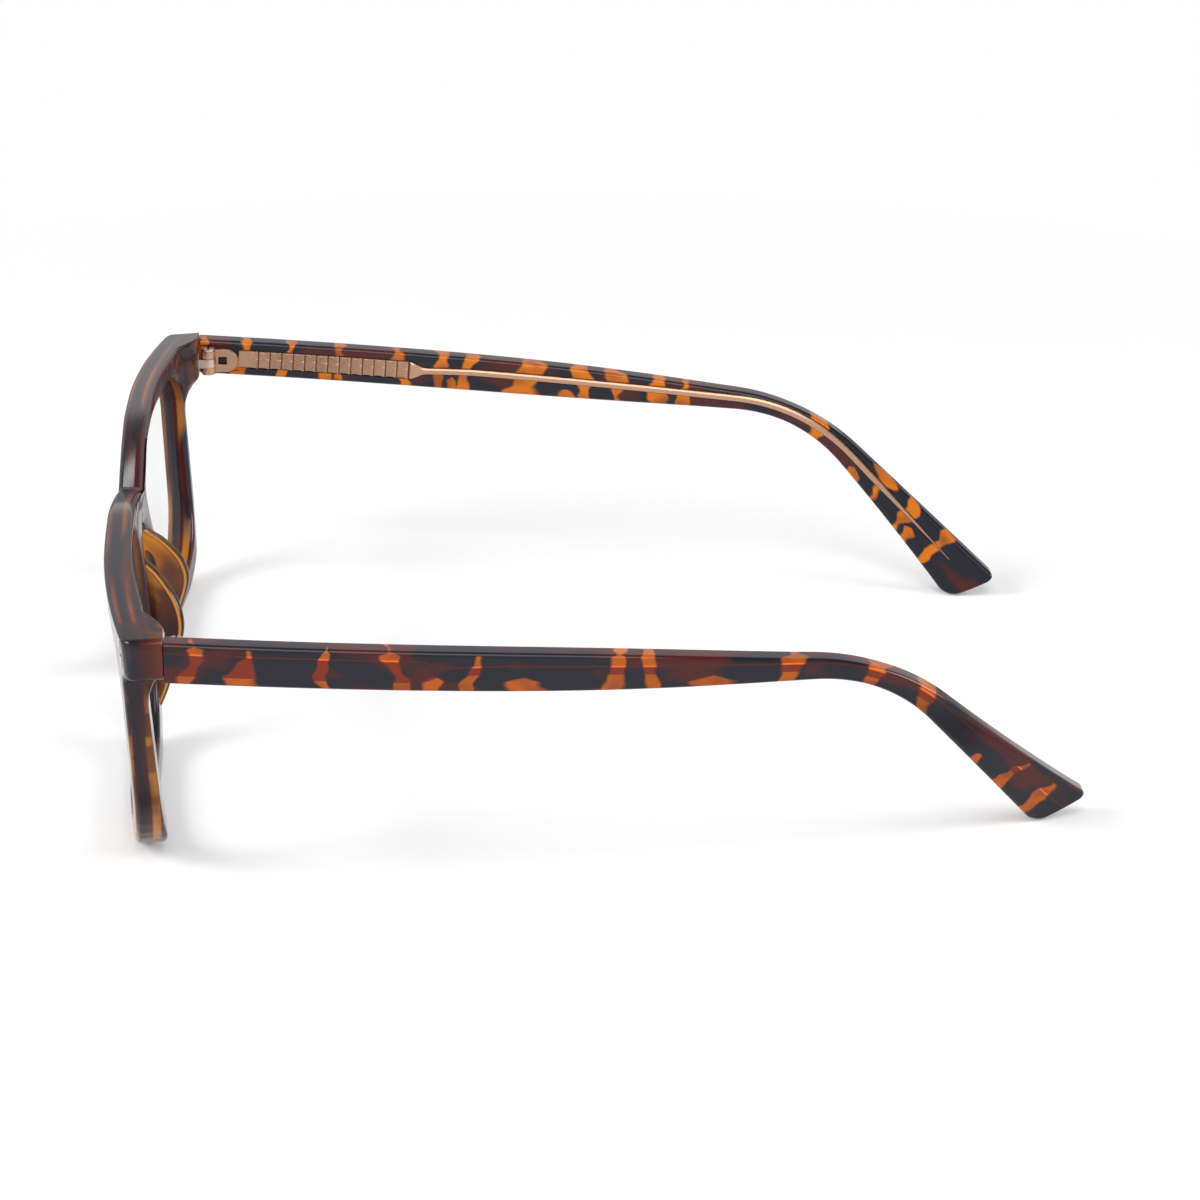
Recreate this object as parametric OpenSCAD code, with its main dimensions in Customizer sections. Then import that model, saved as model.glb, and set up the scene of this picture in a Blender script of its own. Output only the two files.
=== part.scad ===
// Square tortoise eyeglasses that fold at two screwed hinges.
// Millimetres. +X is the wearer's left, +Y runs back along the temples and +Z is up.
// The glasses stand on the bottoms of both rims and on both temple tips.

/* [Front] */
// Width over the two end pieces
front_w = 138; // [134:0.5:144]
// Height of the front along its own plane
front_h = 42.6; // [41:0.2:45]
// Thickness of the rims and of the brow at the middle
front_t = 4.1; // [3.8:0.1:4.8]
// Extra thickness of the rims near the end pieces
end_thicken = 0.6; // [0.2:0.1:1]
// Distance from the foremost point of the brow to the temple joint
front_depth = 10.6; // [10:0.1:12]
// Forward lean of the front from the upright
front_tilt = 4; // [2:0.5:5]
// Radius of the gentle curve over the whole front, seen from above
front_r = 2000; // [1000:50:4000]
// Width of each outer stretch that wraps back towards the temples
wrap_w = 37; // [31:1:41]
// Radius of the tighter wrap over those stretches
wrap_r = 186; // [170:2:220]
// Fall of the brow line from the middle to the end pieces
brow_fall = 2.4; // [1:0.1:3.5]
// Height of the flats that the rims stand on, cut off below
foot_flat = 0.25; // [0.15:0.05:0.4]

/* [Bridge] */
// Depth of the dip in the brow line over the nose
bridge_dip = 4.9; // [3:0.1:6]
// Half width of that dip
dip_half_w = 19; // [15:0.5:22]
// Height of the bridge between its top and its arch
bridge_h = 7; // [6:0.2:8]
// Half width of the arch at the top of the nose gap
arch_half_w = 4.6; // [4:0.2:6]
// Half width of the nose gap at its foot
nose_half_w = 12.6; // [11:0.2:13.5]
// Radius of the arch
arch_r = 4.4; // [3:0.2:4.4]

/* [Rims and lenses] */
// Distance from each lens opening to the side of the end piece
side_w = 8.4; // [8:0.1:9.4]
// Height of each lens opening
lens_h = 33.6; // [31:0.2:34]
// Distance between the lens openings at the brow
lens_gap = 19.2; // [18:0.2:21]
// Width of the rim under the lens
rim_bottom_w = 3.9; // [3.4:0.1:4.5]
// Drift of the inner lens edge towards the ear, top to bottom
lens_inner_lean = 5; // [4:0.5:6]
// Drop of the lens opening's top edge towards the ear
lens_top_fall = 0.8; // [0.4:0.1:1.2]
// Drift of the outer lens edge towards the nose, top to bottom
lens_outer_lean = 3.5; // [2:0.5:4]
// Radius of the upper lens corners
lens_top_r = 6.5; // [5:0.5:8]
// Radius of the lower lens corners
lens_low_r = 12; // [9:0.5:13]
// Width of the outer rim beside the lens at the brow
rim_side_w = 4.1; // [3.6:0.1:4.6]
// Width that the outer rim loses on its way down
rim_side_taper = 0.8; // [0.4:0.1:1.2]
// Radius of the lower outer rim corners
rim_corner_r = 16.5; // [12:0.5:18]
// Radius of the lower inner rim corners
rim_nose_r = 10; // [8:0.5:12]
// Depth at which the rear of the rims goes flat towards the end pieces
rim_rear_depth = 7; // [6.8:0.1:7.6]
// Thickness of the lenses
lens_t = 1.8; // [1.6:0.1:2.2]
// Setback of the lenses from the face of the front
lens_setback = 0.9; // [0.8:0.1:1.2]
// Depth of the groove that holds the lens edge
groove_depth = 0.6; // [0.4:0.1:0.8]
// Thickness of the lens edge in the groove
lens_edge_t = 0.9; // [0.7:0.1:1.1]
// Play all round between a lens and its rim
lens_play = 0.05; // [0.02:0.01:0.1]

/* [End pieces] */
// Height of the end pieces beside the temples
end_h = 6.2; // [5.8:0.1:6.8]
// Distance that the end pieces stand out past the rims
end_reach = 4.3; // [3.8:0.1:4.8]
// Rounding of the end pieces, seen from the front
end_round = 1.4; // [0.8:0.1:1.8]
// Radius of the notch under the end pieces
notch_r = 2.5; // [1.5:0.5:3.5]
// Radius of the sweep from the rims back to the joint
sweep_r = 14; // [12:0.5:16]
// Height over which the sweep fades into the rims
sweep_fall = 9.5; // [9:0.5:12]
// Width of the end pieces inwards from the hinge foot
end_inner_w = 0.4; // [0.2:0.1:0.8]
// Depth at which the end pieces' inner wall turns straight back
end_turn = 9.8; // [9.2:0.1:10.4]
// Width over which the end pieces blend into the brow
end_blend_w = 8; // [6:0.5:10]

/* [Nose pads] */
// Reach of the pads behind the rims
pad_reach = 4.7; // [4.2:0.1:5.2]
// Roundness of the pad edges
pad_edge_r = 1.2; // [1:0.1:1.4]
// Height of the pads
pad_h = 19; // [17:0.5:20]
// Height of the pads' lower end above the floor
pad_low = 8.5; // [7.5:0.5:10]
// Distance that the pads' tips sit outside the line of the nose gap
pad_splay = 1.2; // [0.8:0.1:1.8]
// Thickness of the pads at their root, less their rounding
pad_root_w = 2.2; // [1.6:0.1:2.6]

/* [Temples] */
// Depth of the middle of the temple joint below the top of the front
joint_fall = 5.55; // [5.2:0.05:5.8]
// Thickness of the temples
temple_t = 3.5; // [3.2:0.1:4]
// Height of the temples at the joint
temple_h = 6.1; // [5.9:0.1:6.4]
// Height of the temples at their waist
waist_h = 3; // [2.8:0.1:3.6]
// Height of the temple tips
tip_h = 8.8; // [8:0.1:9.6]
// Length of the straight part of the temples
straight_len = 93; // [88:0.5:96]
// Length from the joint to the end of the tip
temple_len = 144.5; // [140:0.5:147]
// Slope of the straight part
temple_drop = 3.6; // [3:0.1:4]
// Angle that the ear bend adds
bend_angle = 41.5; // [36:0.5:43]
// Radius of the ear bend
bend_r = 30; // [26:1:34]
// Radius of the inward curve, seen from above
bow_r = 500; // [450:10:600]
// Radius of the extra curl of the tips
curl_r = 200; // [150:10:300]
// Slant of the tip's end cut
tip_cut = 18.7; // [12:0.5:22]
// Rounding of the tip's rear corner
tip_top_r = 1.3; // [1:0.1:1.8]
// Rounding of the tip's lower corner
tip_low_r = 2.2; // [1.6:0.1:2.6]
// Rounding of the temples' long edges
temple_edge_r = 0.7; // [0.4:0.1:0.9]
// Gap between a temple and its end piece
joint_gap = 0.1; // [0.05:0.05:0.2]

/* [Hinges] */
// Height of the hinge's middle below the temple's middle line
hinge_drop = 0.55; // [0.4:0.05:0.65]
// Radius of the hinge knuckles
knuckle_r = 1.2; // [1.1:0.05:1.25]
// Distance from the temple's inner face to the pin's axis
axis_inset = 1.3; // [1.3:0.05:1.5]
// Distance from the joint to the pin's axis
axis_back = 1.6; // [1.5:0.05:1.8]
// Height of the hinge over all its knuckles
hinge_h = 4.1; // [3.9:0.1:4.3]
// Height of the middle knuckle
mid_knuckle_h = 1.6; // [1.4:0.1:1.8]
// Gap between neighbouring knuckles
knuckle_gap = 0.05; // [0.03:0.01:0.08]
// Room between the middle knuckle and the temple leaf round it
knuckle_room = 0.15; // [0.1:0.05:0.2]
// Thickness of the temple leaf
leaf_t = 1; // [0.9:0.05:1.1]
// Length of the temple leaf behind the pin's axis
leaf_len = 5; // [4.8:0.1:5.4]
// Depth of the pocket for the temple leaf
pocket_depth = 0.3; // [0.2:0.05:0.4]
// Room round the leaf and the screw head in that pocket
pocket_room = 0.15; // [0.1:0.05:0.2]
// Length of the window in the temple leaf
window_len = 1.5; // [1.2:0.1:1.7]
// Height of the window in the temple leaf
window_h = 1.4; // [1.2:0.1:1.6]
// Distance from the middle knuckle's room to the window
window_lead = 0.3; // [0.2:0.1:0.5]
// Thickness of the front leaf's foot
foot_t = 0.9; // [0.7:0.1:1.1]
// Width of the front leaf's foot
foot_w = 3.4; // [3.2:0.1:3.8]
// Radius of the hinge screws
screw_r = 0.6; // [0.5:0.05:0.65]
// Clearance of the screws in the temple knuckles, all round
screw_fit = 0.04; // [0.02:0.01:0.08]
// Radius of the screw heads
screw_head_r = 1.05; // [0.95:0.05:1.15]
// Height of the screw heads
screw_head_h = 0.5; // [0.4:0.05:0.55]
// Width of the slots in the screw heads
slot_w = 0.3; // [0.2:0.05:0.4]
// Depth of those slots
slot_depth = 0.25; // [0.15:0.05:0.3]
// Radius of the rivets through the end pieces
rivet_r = 0.6; // [0.5:0.05:0.7]
// Radius of the rivet heads
rivet_head_r = 0.95; // [0.85:0.05:1.1]
// Depth of the rivet heads in the face
rivet_head_h = 0.35; // [0.3:0.05:0.5]
// Height of the rivet heads over the face
rivet_proud = 0.08; // [0.04:0.02:0.2]
// Height between the two rivets
rivet_pitch = 2.9; // [2.6:0.1:3]
// Distance from the rivets' ends to the joint, inside the hinge foot
rivet_short = 0.25; // [0.2:0.05:0.5]
// Distance from the side of the end piece to the rivets
rivet_inset = 4; // [3.6:0.1:4.2]
// Rise of the rivets' middle over the hinge's middle
rivet_rise = 1.1; // [0.9:0.1:1.2]

/* [Core wires] */
// Number of embossed scales on each core
scale_count = 14; // [8:1:16]
// Length of one scale
scale_pitch = 2; // [1.8:0.05:2.1]
// Height of the embossed plate
plate_h = 3.3; // [3:0.1:3.5]
// Thickness of the embossed plate
plate_t = 0.8; // [0.7:0.05:1]
// Step in thickness from one scale to the next
scale_step = 0.2; // [0.1:0.05:0.3]
// Plain length between the hinge leaf and the scales
plate_lead = 1.5; // [1:0.1:2]
// Height of the wire behind the plate
wire_h = 1.25; // [1:0.05:1.4]
// Distance that the wire runs above the temple's middle line
wire_rise = 0.5; // [0.2:0.1:0.6]
// Length of the wire's point
wire_point = 18; // [12:1:22]
// Distance from the wire's point to the end of the tip
wire_short = 6; // [5:0.5:8]
// Play round the core in its channel
core_play = 0.05; // [0.02:0.01:0.1]

/* [Hidden] */

tortoise = "#5a2f1c";
amber = "#a8642a";
rose_gold = "#d9a583";
steel = "#d8d4cb";

half_w = front_w / 2;
wrap_start = half_w - wrap_w;
lens_in_x = lens_gap / 2;
lens_out_x = half_w - side_w;
hinge_z = front_h - joint_fall;
big = 200;
tiny = 0.01;
past_joint = 14;
plan_step = 3;
arc_steps = 8;
waist_ease = 2.6;
flare_ease = 1.4;
waist_s = straight_len + 9;
curl_start = waist_s + 13;
skew_start = waist_s + 18;
plan_count = ceil(half_w / plan_step) + 1;
plan_xs = [for (i = [-plan_count:plan_count]) i * plan_step];

// Points of an arc about c, from angle a0 to a1
function arc(c, r, a0, a1, n = arc_steps) =
    [for (i = [0:n]) c + r * [cos(a0 + (a1 - a0) * i / n), sin(a0 + (a1 - a0) * i / n)]];

function unit(v) = v / norm(v);
function smooth(u) = let (c = min(1, max(0, u))) c * c * (3 - 2 * c);

// Arc that rounds the corner b between a and c with radius r, whichever way it turns
function corner(a, b, c, r) =
    let (u = unit(a - b), v = unit(c - b),
         half = acos(u * v) / 2,
         reach = r / tan(half),
         p = b + reach * u,
         centre = b + (r / sin(half)) * unit(u + v),
         from = atan2((p - centre)[1], (p - centre)[0]),
         q = b + reach * v,
         to = atan2((q - centre)[1], (q - centre)[0]),
         turn = (to - from) - 360 * round((to - from) / 360))
    arc(centre, r, from, from + turn);

// Closed outline through corners [x, z, r], each rounded by its own radius
function rounded(p) =
    [for (i = [0:len(p) - 1])
        let (a = p[(i + len(p) - 1) % len(p)], b = p[i], c = p[(i + 1) % len(p)])
        each corner([a[0], a[1]], [b[0], b[1]], [c[0], c[1]], b[2])];

// The same corners with every side of a clockwise outline moved out by d
function grown(p, d) =
    [for (i = [0:len(p) - 1])
        let (a = p[(i + len(p) - 1) % len(p)], b = p[i], c = p[(i + 1) % len(p)],
             u = unit([b[0] - a[0], b[1] - a[1]]), v = unit([c[0] - b[0], c[1] - b[1]]),
             nu = [-u[1], u[0]], nv = [-v[1], v[0]],
             m = (nu + nv) * d / (1 + nu * nv))
        [b[0] + m[0], b[1] + m[1], b[2] + d]];

// Plan of the front: how far its face lies behind the foremost point at x
function face_y(x) = x * x / (2 * front_r) + pow(max(0, abs(x) - wrap_start), 2) / (2 * wrap_r);
function thickness(x) =
    front_t + end_thicken * smooth((abs(x) - wrap_start) / (lens_out_x - wrap_start));
function rear_y_at(x) = min(face_y(x) + thickness(x), rim_rear_depth);

// Front view: the brow line at x
function brow_z(x) =
    front_h - brow_fall * pow(x / half_w, 2)
    - (abs(x) < dip_half_w ? bridge_dip * (1 + cos(180 * x / dip_half_w)) / 2 : 0);

bridge_top = front_h - bridge_dip;
arch_z = bridge_top - bridge_h;
end_top = brow_z(half_w);
end_low = end_top - end_h;
rim_side_x = half_w - end_reach;
lens_low_z = rim_bottom_w;
lens_top_z = lens_low_z + lens_h;
rim_low_x = lens_out_x - lens_outer_lean + rim_side_w - rim_side_taper;
brow_xs = [for (x = [0:plan_step / 2:rim_side_x]) x];

// Half outline of the front, clockwise from the middle of the bridge
half_outline = concat(
    [for (x = brow_xs) [x, brow_z(x)]],
    corner([rim_side_x, brow_z(rim_side_x)], [half_w, end_top], [half_w, end_low], end_round),
    corner([half_w, end_top], [half_w, end_low], [rim_side_x, end_low], end_round),
    corner([half_w, end_low], [rim_side_x, end_low], [rim_low_x, 0], notch_r),
    corner([rim_side_x, end_low], [rim_low_x, 0], [nose_half_w, 0], rim_corner_r),
    corner([rim_low_x, 0], [nose_half_w, 0], [arch_half_w, arch_z], rim_nose_r),
    corner([nose_half_w, 0], [arch_half_w, arch_z], [0, arch_z], arch_r),
    [[0, arch_z]]);

// Lens opening, clockwise from its upper inner corner
lens_corners = [[lens_in_x, lens_top_z, lens_top_r],
                [lens_out_x, lens_top_z - lens_top_fall, lens_top_r],
                [lens_out_x - lens_outer_lean, lens_low_z, lens_low_r],
                [lens_in_x + lens_inner_lean, lens_low_z, lens_low_r]];

// Side view of a temple: path angle below the level, and its point, at length s
bend_len = bend_r * bend_angle * PI / 180;
tip_angle = temple_drop + bend_angle;
function path_angle(s) =
    min(tip_angle, temple_drop + max(0, s - straight_len) / bend_r * 180 / PI);
function path_point(s) =
    let (a = path_angle(s),
         s1 = min(s, straight_len),
         s3 = max(0, s - straight_len - bend_len))
    [s1 * cos(temple_drop) + bend_r * (sin(a) - sin(temple_drop)) + s3 * cos(tip_angle),
     hinge_z - s1 * sin(temple_drop) - bend_r * (cos(temple_drop) - cos(a))
     - s3 * sin(tip_angle)];
function bow(s) = s * s / (2 * bow_r) + pow(max(0, s - curl_start), 2) / (2 * curl_r);
function half_height(s) =
    s < waist_s
    ? (waist_h + (temple_h - waist_h) * (1 + cos(180 * pow(max(0, s) / waist_s, waist_ease))) / 2) / 2
    : (waist_h + (tip_h - waist_h) * pow((s - waist_s) / (temple_len - waist_s), flare_ease)) / 2;

// Point of a temple at length s, v above its middle line and w in from its outer face
function temple_point(s, v, w) =
    let (p = path_point(s), a = path_angle(s))
    [half_w - bow(s) - w, p[0] + v * sin(a), p[1] + v * cos(a)];

// How far a corner of radius r has drawn in, e before the end
function drawn_in(r, e) = e >= r ? 0 : r - sqrt(r * r - pow(r - e, 2));

// Ring of a temple at length s, its corners rounded, leaning to the slant of the end cut
function temple_ring(s, pinch = 0) =
    let (e = temple_len - s,
         up = half_height(s) - drawn_in(tip_top_r, e) - pinch,
         down = half_height(s) - drawn_in(tip_low_r, e) - pinch,
         lean = tan(tip_cut) * smooth((s - skew_start) / (temple_len - skew_start)),
         r = temple_edge_r - pinch / 2,
         t = temple_t - pinch,
         outline = concat(arc([up - r, t - r], r, 0, 90, 2), arc([r - down, t - r], r, 90, 180, 2),
                          arc([r - down, pinch + r], r, 180, 270, 2),
                          arc([up - r, pinch + r], r, 270, 360, 2)))
    [for (q = outline) temple_point(s + lean * q[0], q[0], q[1])];

temple_stations = concat(
    [-2], [for (s = [6:12:straight_len - 22]) s], [for (s = [straight_len - 18:4:straight_len]) s],
    [for (i = [1:8]) straight_len + bend_len * i / 8],
    [for (e = [24, 19, 14, 9, 5, 3]) temple_len - e],
    [for (a = [0:18:72]) temple_len - tip_low_r * (1 - sin(a))]);
tip_rings = [for (s = temple_stations) temple_ring(s)];
end_pinch = 0.35;
rear_y = max([for (r = tip_rings) for (p = r) p[1]]);
tip_low_z = min([for (r = tip_rings) for (p = r) p[2]]);

// Core: how far its middle lies above the temple's middle line, and its size, at length s
pocket_end = axis_back + leaf_len + pocket_room;
plate_start = pocket_end + core_play;
scale_start = plate_start + plate_lead;
scale_end = scale_start + scale_count * scale_pitch;
core_end = temple_len - wire_short;
taper_len = 3;
function core_rise(s) = wire_rise * smooth((s - scale_end) / (4 * taper_len));
function core_half(s) =
    s <= scale_end ? plate_h / 2
    : s < scale_end + taper_len
    ? (plate_h + (wire_h - plate_h) * smooth((s - scale_end) / taper_len)) / 2
    : wire_h / 2 * max(0.15, min(1, (core_end - s) / wire_point));

// Each scale is highest at its front edge and falls to the next
function scale_drop(i) = i % 2 == 0 ? 0 : scale_step;
core_stations = concat(
    [[plate_start, 0], [scale_start - tiny, scale_step]],
    [for (i = [0:2 * scale_count - 1])
        [scale_start + scale_pitch * (floor(i / 2) + (i % 2 == 0 ? 0 : 1) * 0.92), scale_drop(i)]],
    [for (i = [1:4]) [scale_end + taper_len * i / 4, 0]],
    [for (s = [scale_end + 10:12:straight_len - 4]) [s, 0]],
    [for (i = [0:8]) [straight_len + bend_len * i / 8, 0]],
    [for (i = [1:5]) [straight_len + bend_len + (core_end - straight_len - bend_len) * i / 5, 0]]);

// Ring of the core, or of its channel when it is grown by g and open to the inner face
function core_ring(s, drop, g, sink) =
    let (h = core_half(s) + g, v = core_rise(s), out = temple_t - plate_t - g, in = temple_t - sink)
    [temple_point(s, v + h, out), temple_point(s, v + h, in),
     temple_point(s, v - h, in), temple_point(s, v - h, out)];

// Hinge places
axis_x = half_w - temple_t - axis_inset;
leaf_out_x = half_w - temple_t + pocket_depth;
hinge_mid_z = hinge_z - hinge_drop;
hinge_low_z = hinge_mid_z - hinge_h / 2;
rivet_x = half_w - rivet_inset;
rivet_wrap = atan(rivet_x / front_r + (rivet_x - wrap_start) / wrap_r);

// The part stands with the middle of its plan at the origin
front_y0 = front_h * sin(front_tilt) - front_depth;
fore_y = min([for (x = brow_xs)
    front_y0 + face_y(x) * cos(front_tilt) - brow_z(x) * sin(front_tilt)]);
shift_y = -(fore_y + rear_y) / 2;

// Solid through rings of equal length, closed at both ends by fans of triangles
module loft(rings) {
    n = len(rings[0]);
    last = (len(rings) - 1) * n;
    sides = [for (i = [0:len(rings) - 2]) for (j = [0:n - 1])
        let (a = i * n + j, b = i * n + (j + 1) % n) each [[a, b, b + n], [a, b + n, a + n]]];
    caps = [for (j = [1:n - 2]) each [[0, j + 1, j], [last, last + j, last + j + 1]]];
    polyhedron([for (r = rings) each r], concat(sides, caps));
}

// Stands the part in its frame
module placed() {
    translate([0, shift_y, max(0, -tip_low_z)]) children();
}

// The wearer's left side as drawn, or its mirror image on the right
module on_side(side) {
    placed() mirror([side < 0 ? 1 : 0, 0, 0]) children();
}

// The front's own plane: y back from its face, z up along it
module lean() {
    translate([0, front_y0, -foot_flat]) rotate([front_tilt, 0, 0]) children();
}

// Pushes a front view through the front's depth
module through() {
    translate([0, big / 2, 0]) rotate([90, 0, 0]) linear_extrude(big) children();
}

// Upright wall over the front's plan, between two lists of plan points
module plan_wall(fore, aft) {
    translate([0, 0, -big / 2]) linear_extrude(big)
        polygon(concat(fore, [for (i = [len(aft) - 1:-1:0]) aft[i]]));
}

// Layer of the front between two depths behind its face
module layer(from, to) {
    plan_wall([for (x = plan_xs) [x, face_y(x) + from]], [for (x = plan_xs) [x, face_y(x) + to]]);
}

// Everything from the given depth before the face to the rear of the rims
module rim_depth(before = 0) {
    plan_wall([for (x = plan_xs) [x, face_y(x) - before]], [for (x = plan_xs) [x, rear_y_at(x)]]);
}

module front_view() {
    polygon(concat(half_outline,
                   [for (i = [len(half_outline) - 2:-1:1]) [-half_outline[i][0], half_outline[i][1]]]));
}

module lens_view(d) {
    polygon(rounded(grown(lens_corners, d)));
}

// End piece: sweeps back from the rim to the joint, and down into the rim's rear
module end_piece_mass() {
    start_x = lens_out_x - end_blend_w;
    bend_x = lens_out_x - end_thicken;
    foot_x = axis_x - foot_w / 2;
    turn = acos(1 - (past_joint - rim_rear_depth) / sweep_r);
    translate([0, 0, end_low - 1]) linear_extrude(20)
        polygon([[start_x, face_y(start_x) + 1], [half_w + 3, face_y(half_w + 3)],
                 [half_w + 3, past_joint], [foot_x, past_joint], [foot_x - end_inner_w, end_turn],
                 [bend_x, face_y(bend_x) + front_t + end_thicken],
                 [start_x, face_y(start_x) + front_t]]);
    translate([bend_x, 0, 0]) rotate([90, 0, 90]) linear_extrude(end_blend_w + end_reach)
        polygon(concat([[rim_rear_depth - 2, end_low + 1], [past_joint, end_low + 1]],
                       [for (i = [0:arc_steps])
                           let (a = turn * (1 - i / arc_steps))
                           [rim_rear_depth + sweep_r * (1 - cos(a)),
                            end_low - sweep_fall + sweep_r * sin(a)]],
                       [[rim_rear_depth - 2, end_low - sweep_fall]]));
}

// Length of a rivet's shank at height z along the front, from the face to just before the joint
function rivet_len(z) =
    (front_depth - (front_h - z) * sin(front_tilt) - face_y(rivet_x) * cos(front_tilt) - rivet_short)
    / (cos(rivet_wrap) * cos(front_tilt));

// Shank and head of one rivet, square to the face, at height z along the front
module rivet(z) {
    lean() translate([rivet_x, face_y(rivet_x), z]) rotate([0, 0, rivet_wrap]) rotate([-90, 0, 0]) {
        translate([0, 0, -rivet_proud])
            cylinder(r = rivet_head_r, h = rivet_head_h + rivet_proud, $fn = 40);
        cylinder(r = rivet_r, h = rivet_len(z), $fn = 32);
    }
}

rivet_mid = hinge_mid_z + rivet_rise;
rivet_high = rivet_mid + rivet_pitch / 2;
rivet_low = rivet_mid - rivet_pitch / 2;

module both_rivets() {
    rivet(rivet_high);
    rivet(rivet_low);
}

// Foot of the front leaf, let into the end piece
module hinge_foot() {
    translate([axis_x - foot_w / 2, -foot_t, hinge_low_z]) cube([foot_w, foot_t, hinge_h]);
}

module front_frame() {
    color(tortoise) placed() difference() {
        lean() difference() {
            intersection() {
                through() front_view();
                union() {
                    rim_depth();
                    end_piece_mass();
                    mirror([1, 0, 0]) end_piece_mass();
                }
            }
            for (side = [0, 1]) mirror([side, 0, 0]) {
                through() lens_view(0);
                intersection() {
                    through() lens_view(groove_depth + lens_play);
                    layer(lens_setback + (lens_t - lens_edge_t) / 2 - lens_play,
                          lens_setback + (lens_t + lens_edge_t) / 2 + lens_play);
                }
            }
        }
        translate([-big / 2, 0, -big / 2]) cube(big);
        translate([-big / 2, -big / 2, -big]) cube(big);
        for (side = [0, 1]) mirror([side, 0, 0]) {
            hinge_foot();
            both_rivets();
        }
    }
}

module lens() {
    lean() {
        intersection() {
            through() lens_view(-lens_play);
            layer(lens_setback, lens_setback + lens_t);
        }
        intersection() {
            through() lens_view(groove_depth);
            layer(lens_setback + (lens_t - lens_edge_t) / 2,
                  lens_setback + (lens_t + lens_edge_t) / 2);
        }
    }
}

// Pad: a rounded lobe that grows out of the rear of the rim beside the nose
function nose_x(z) = nose_half_w + (arch_half_w - nose_half_w) * z / arch_z;

// Places on the pad, each as shares of its root width, its reach and its height
pad_profile = [[0, 0, 1], [0, 0.12, 0.95], [0, 0.51, 0.76], [0, 0.88, 0.6], [0, 1, 0.45],
               [0, 0.9, 0.32], [0, 0.58, 0.16], [0, 0.22, 0.04], [0, 0, 0], [1, 0, 0.2],
               [1, 0, 0.92]];

module nose_pad() {
    root = front_t - pad_edge_r / 2;
    reach = pad_reach - pad_edge_r / 2;
    lean() difference() {
        hull() for (p = pad_profile) {
            z = pad_low + pad_h * p[2];
            translate([nose_x(z) + pad_splay * p[1] + pad_root_w * p[0] + pad_edge_r,
                       root + reach * p[1], z])
                sphere(r = pad_edge_r, $fn = 20);
        }
        rim_depth(5);
    }
}

module front_leaf() {
    mid_low = hinge_mid_z - mid_knuckle_h / 2 + knuckle_gap;
    mid_h = mid_knuckle_h - 2 * knuckle_gap;
    difference() {
        union() {
            hinge_foot();
            translate([axis_x, axis_back, mid_low]) cylinder(r = knuckle_r, h = mid_h, $fn = 48);
            translate([axis_x - knuckle_r, -tiny, mid_low])
                cube([2 * knuckle_r, axis_back + tiny, mid_h]);
        }
        both_rivets();
        translate([axis_x, axis_back, mid_low - 1]) cylinder(r = screw_r, h = mid_h + 2, $fn = 40);
    }
}

module temple_leaf() {
    end_r = hinge_h / 2;
    mid_low = hinge_mid_z - mid_knuckle_h / 2;
    difference() {
        union() {
            translate([axis_x, axis_back, hinge_low_z]) cylinder(r = knuckle_r, h = hinge_h, $fn = 48);
            translate([leaf_out_x - leaf_t, axis_back, hinge_low_z])
                cube([leaf_t, leaf_len - end_r, hinge_h]);
            translate([leaf_out_x - leaf_t, axis_back + leaf_len - end_r, hinge_mid_z])
                rotate([0, 90, 0]) cylinder(r = end_r, h = leaf_t, $fn = 64);
        }
        translate([axis_x, axis_back, mid_low])
            cylinder(r = knuckle_r + knuckle_room, h = mid_knuckle_h, $fn = 48);
        translate([axis_x - 2, axis_back + knuckle_r + knuckle_room + window_lead,
                   hinge_mid_z - window_h / 2])
            cube([4, window_len, window_h]);
        translate([axis_x, axis_back, hinge_low_z - 1])
            cylinder(r = screw_r + screw_fit, h = hinge_h + 2, $fn = 40);
    }
}

module hinge_screw() {
    head_top = hinge_low_z + hinge_h + screw_head_h;
    difference() {
        translate([axis_x, axis_back, hinge_low_z]) union() {
            cylinder(r = screw_r, h = hinge_h + tiny, $fn = 40);
            translate([0, 0, hinge_h]) cylinder(r = screw_head_r, h = screw_head_h, $fn = 40);
        }
        translate([axis_x - 2, axis_back - slot_w / 2, head_top - slot_depth])
            cube([4, slot_w, 1]);
    }
}

module temple() {
    difference() {
        loft(concat(tip_rings, [temple_ring(temple_len, end_pinch)]));
        translate([-big / 2, joint_gap - big, -big / 2]) cube(big);
        translate([leaf_out_x - 5, -1, hinge_low_z - pocket_room])
            cube([5, pocket_end + 1, hinge_h + screw_head_h + 2 * pocket_room]);
        loft([for (c = core_stations) core_ring(c[0], 0, core_play, -1)]);
    }
}

module core_wire() {
    loft([for (c = core_stations) core_ring(c[0], c[1], 0, 0.1 + c[1])]);
}

module lens_left() { color("lightcyan", 0.3) on_side(1) lens(); }
module lens_right() { color("lightcyan", 0.3) on_side(-1) lens(); }
module nose_pad_left() { color(amber) on_side(1) nose_pad(); }
module nose_pad_right() { color(amber) on_side(-1) nose_pad(); }
module front_hinge_left() { color(steel) on_side(1) front_leaf(); }
module front_hinge_right() { color(steel) on_side(-1) front_leaf(); }
module rivet_upper_left() { color(steel) on_side(1) rivet(rivet_high); }
module rivet_lower_left() { color(steel) on_side(1) rivet(rivet_low); }
module rivet_upper_right() { color(steel) on_side(-1) rivet(rivet_high); }
module rivet_lower_right() { color(steel) on_side(-1) rivet(rivet_low); }
module temple_left() { color(tortoise) on_side(1) temple(); }
module temple_right() { color(tortoise) on_side(-1) temple(); }
module temple_hinge_left() { color(rose_gold) on_side(1) temple_leaf(); }
module temple_hinge_right() { color(rose_gold) on_side(-1) temple_leaf(); }
module core_wire_left() { color(rose_gold) on_side(1) core_wire(); }
module core_wire_right() { color(rose_gold) on_side(-1) core_wire(); }
module hinge_screw_left() { color(steel) on_side(1) hinge_screw(); }
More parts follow.
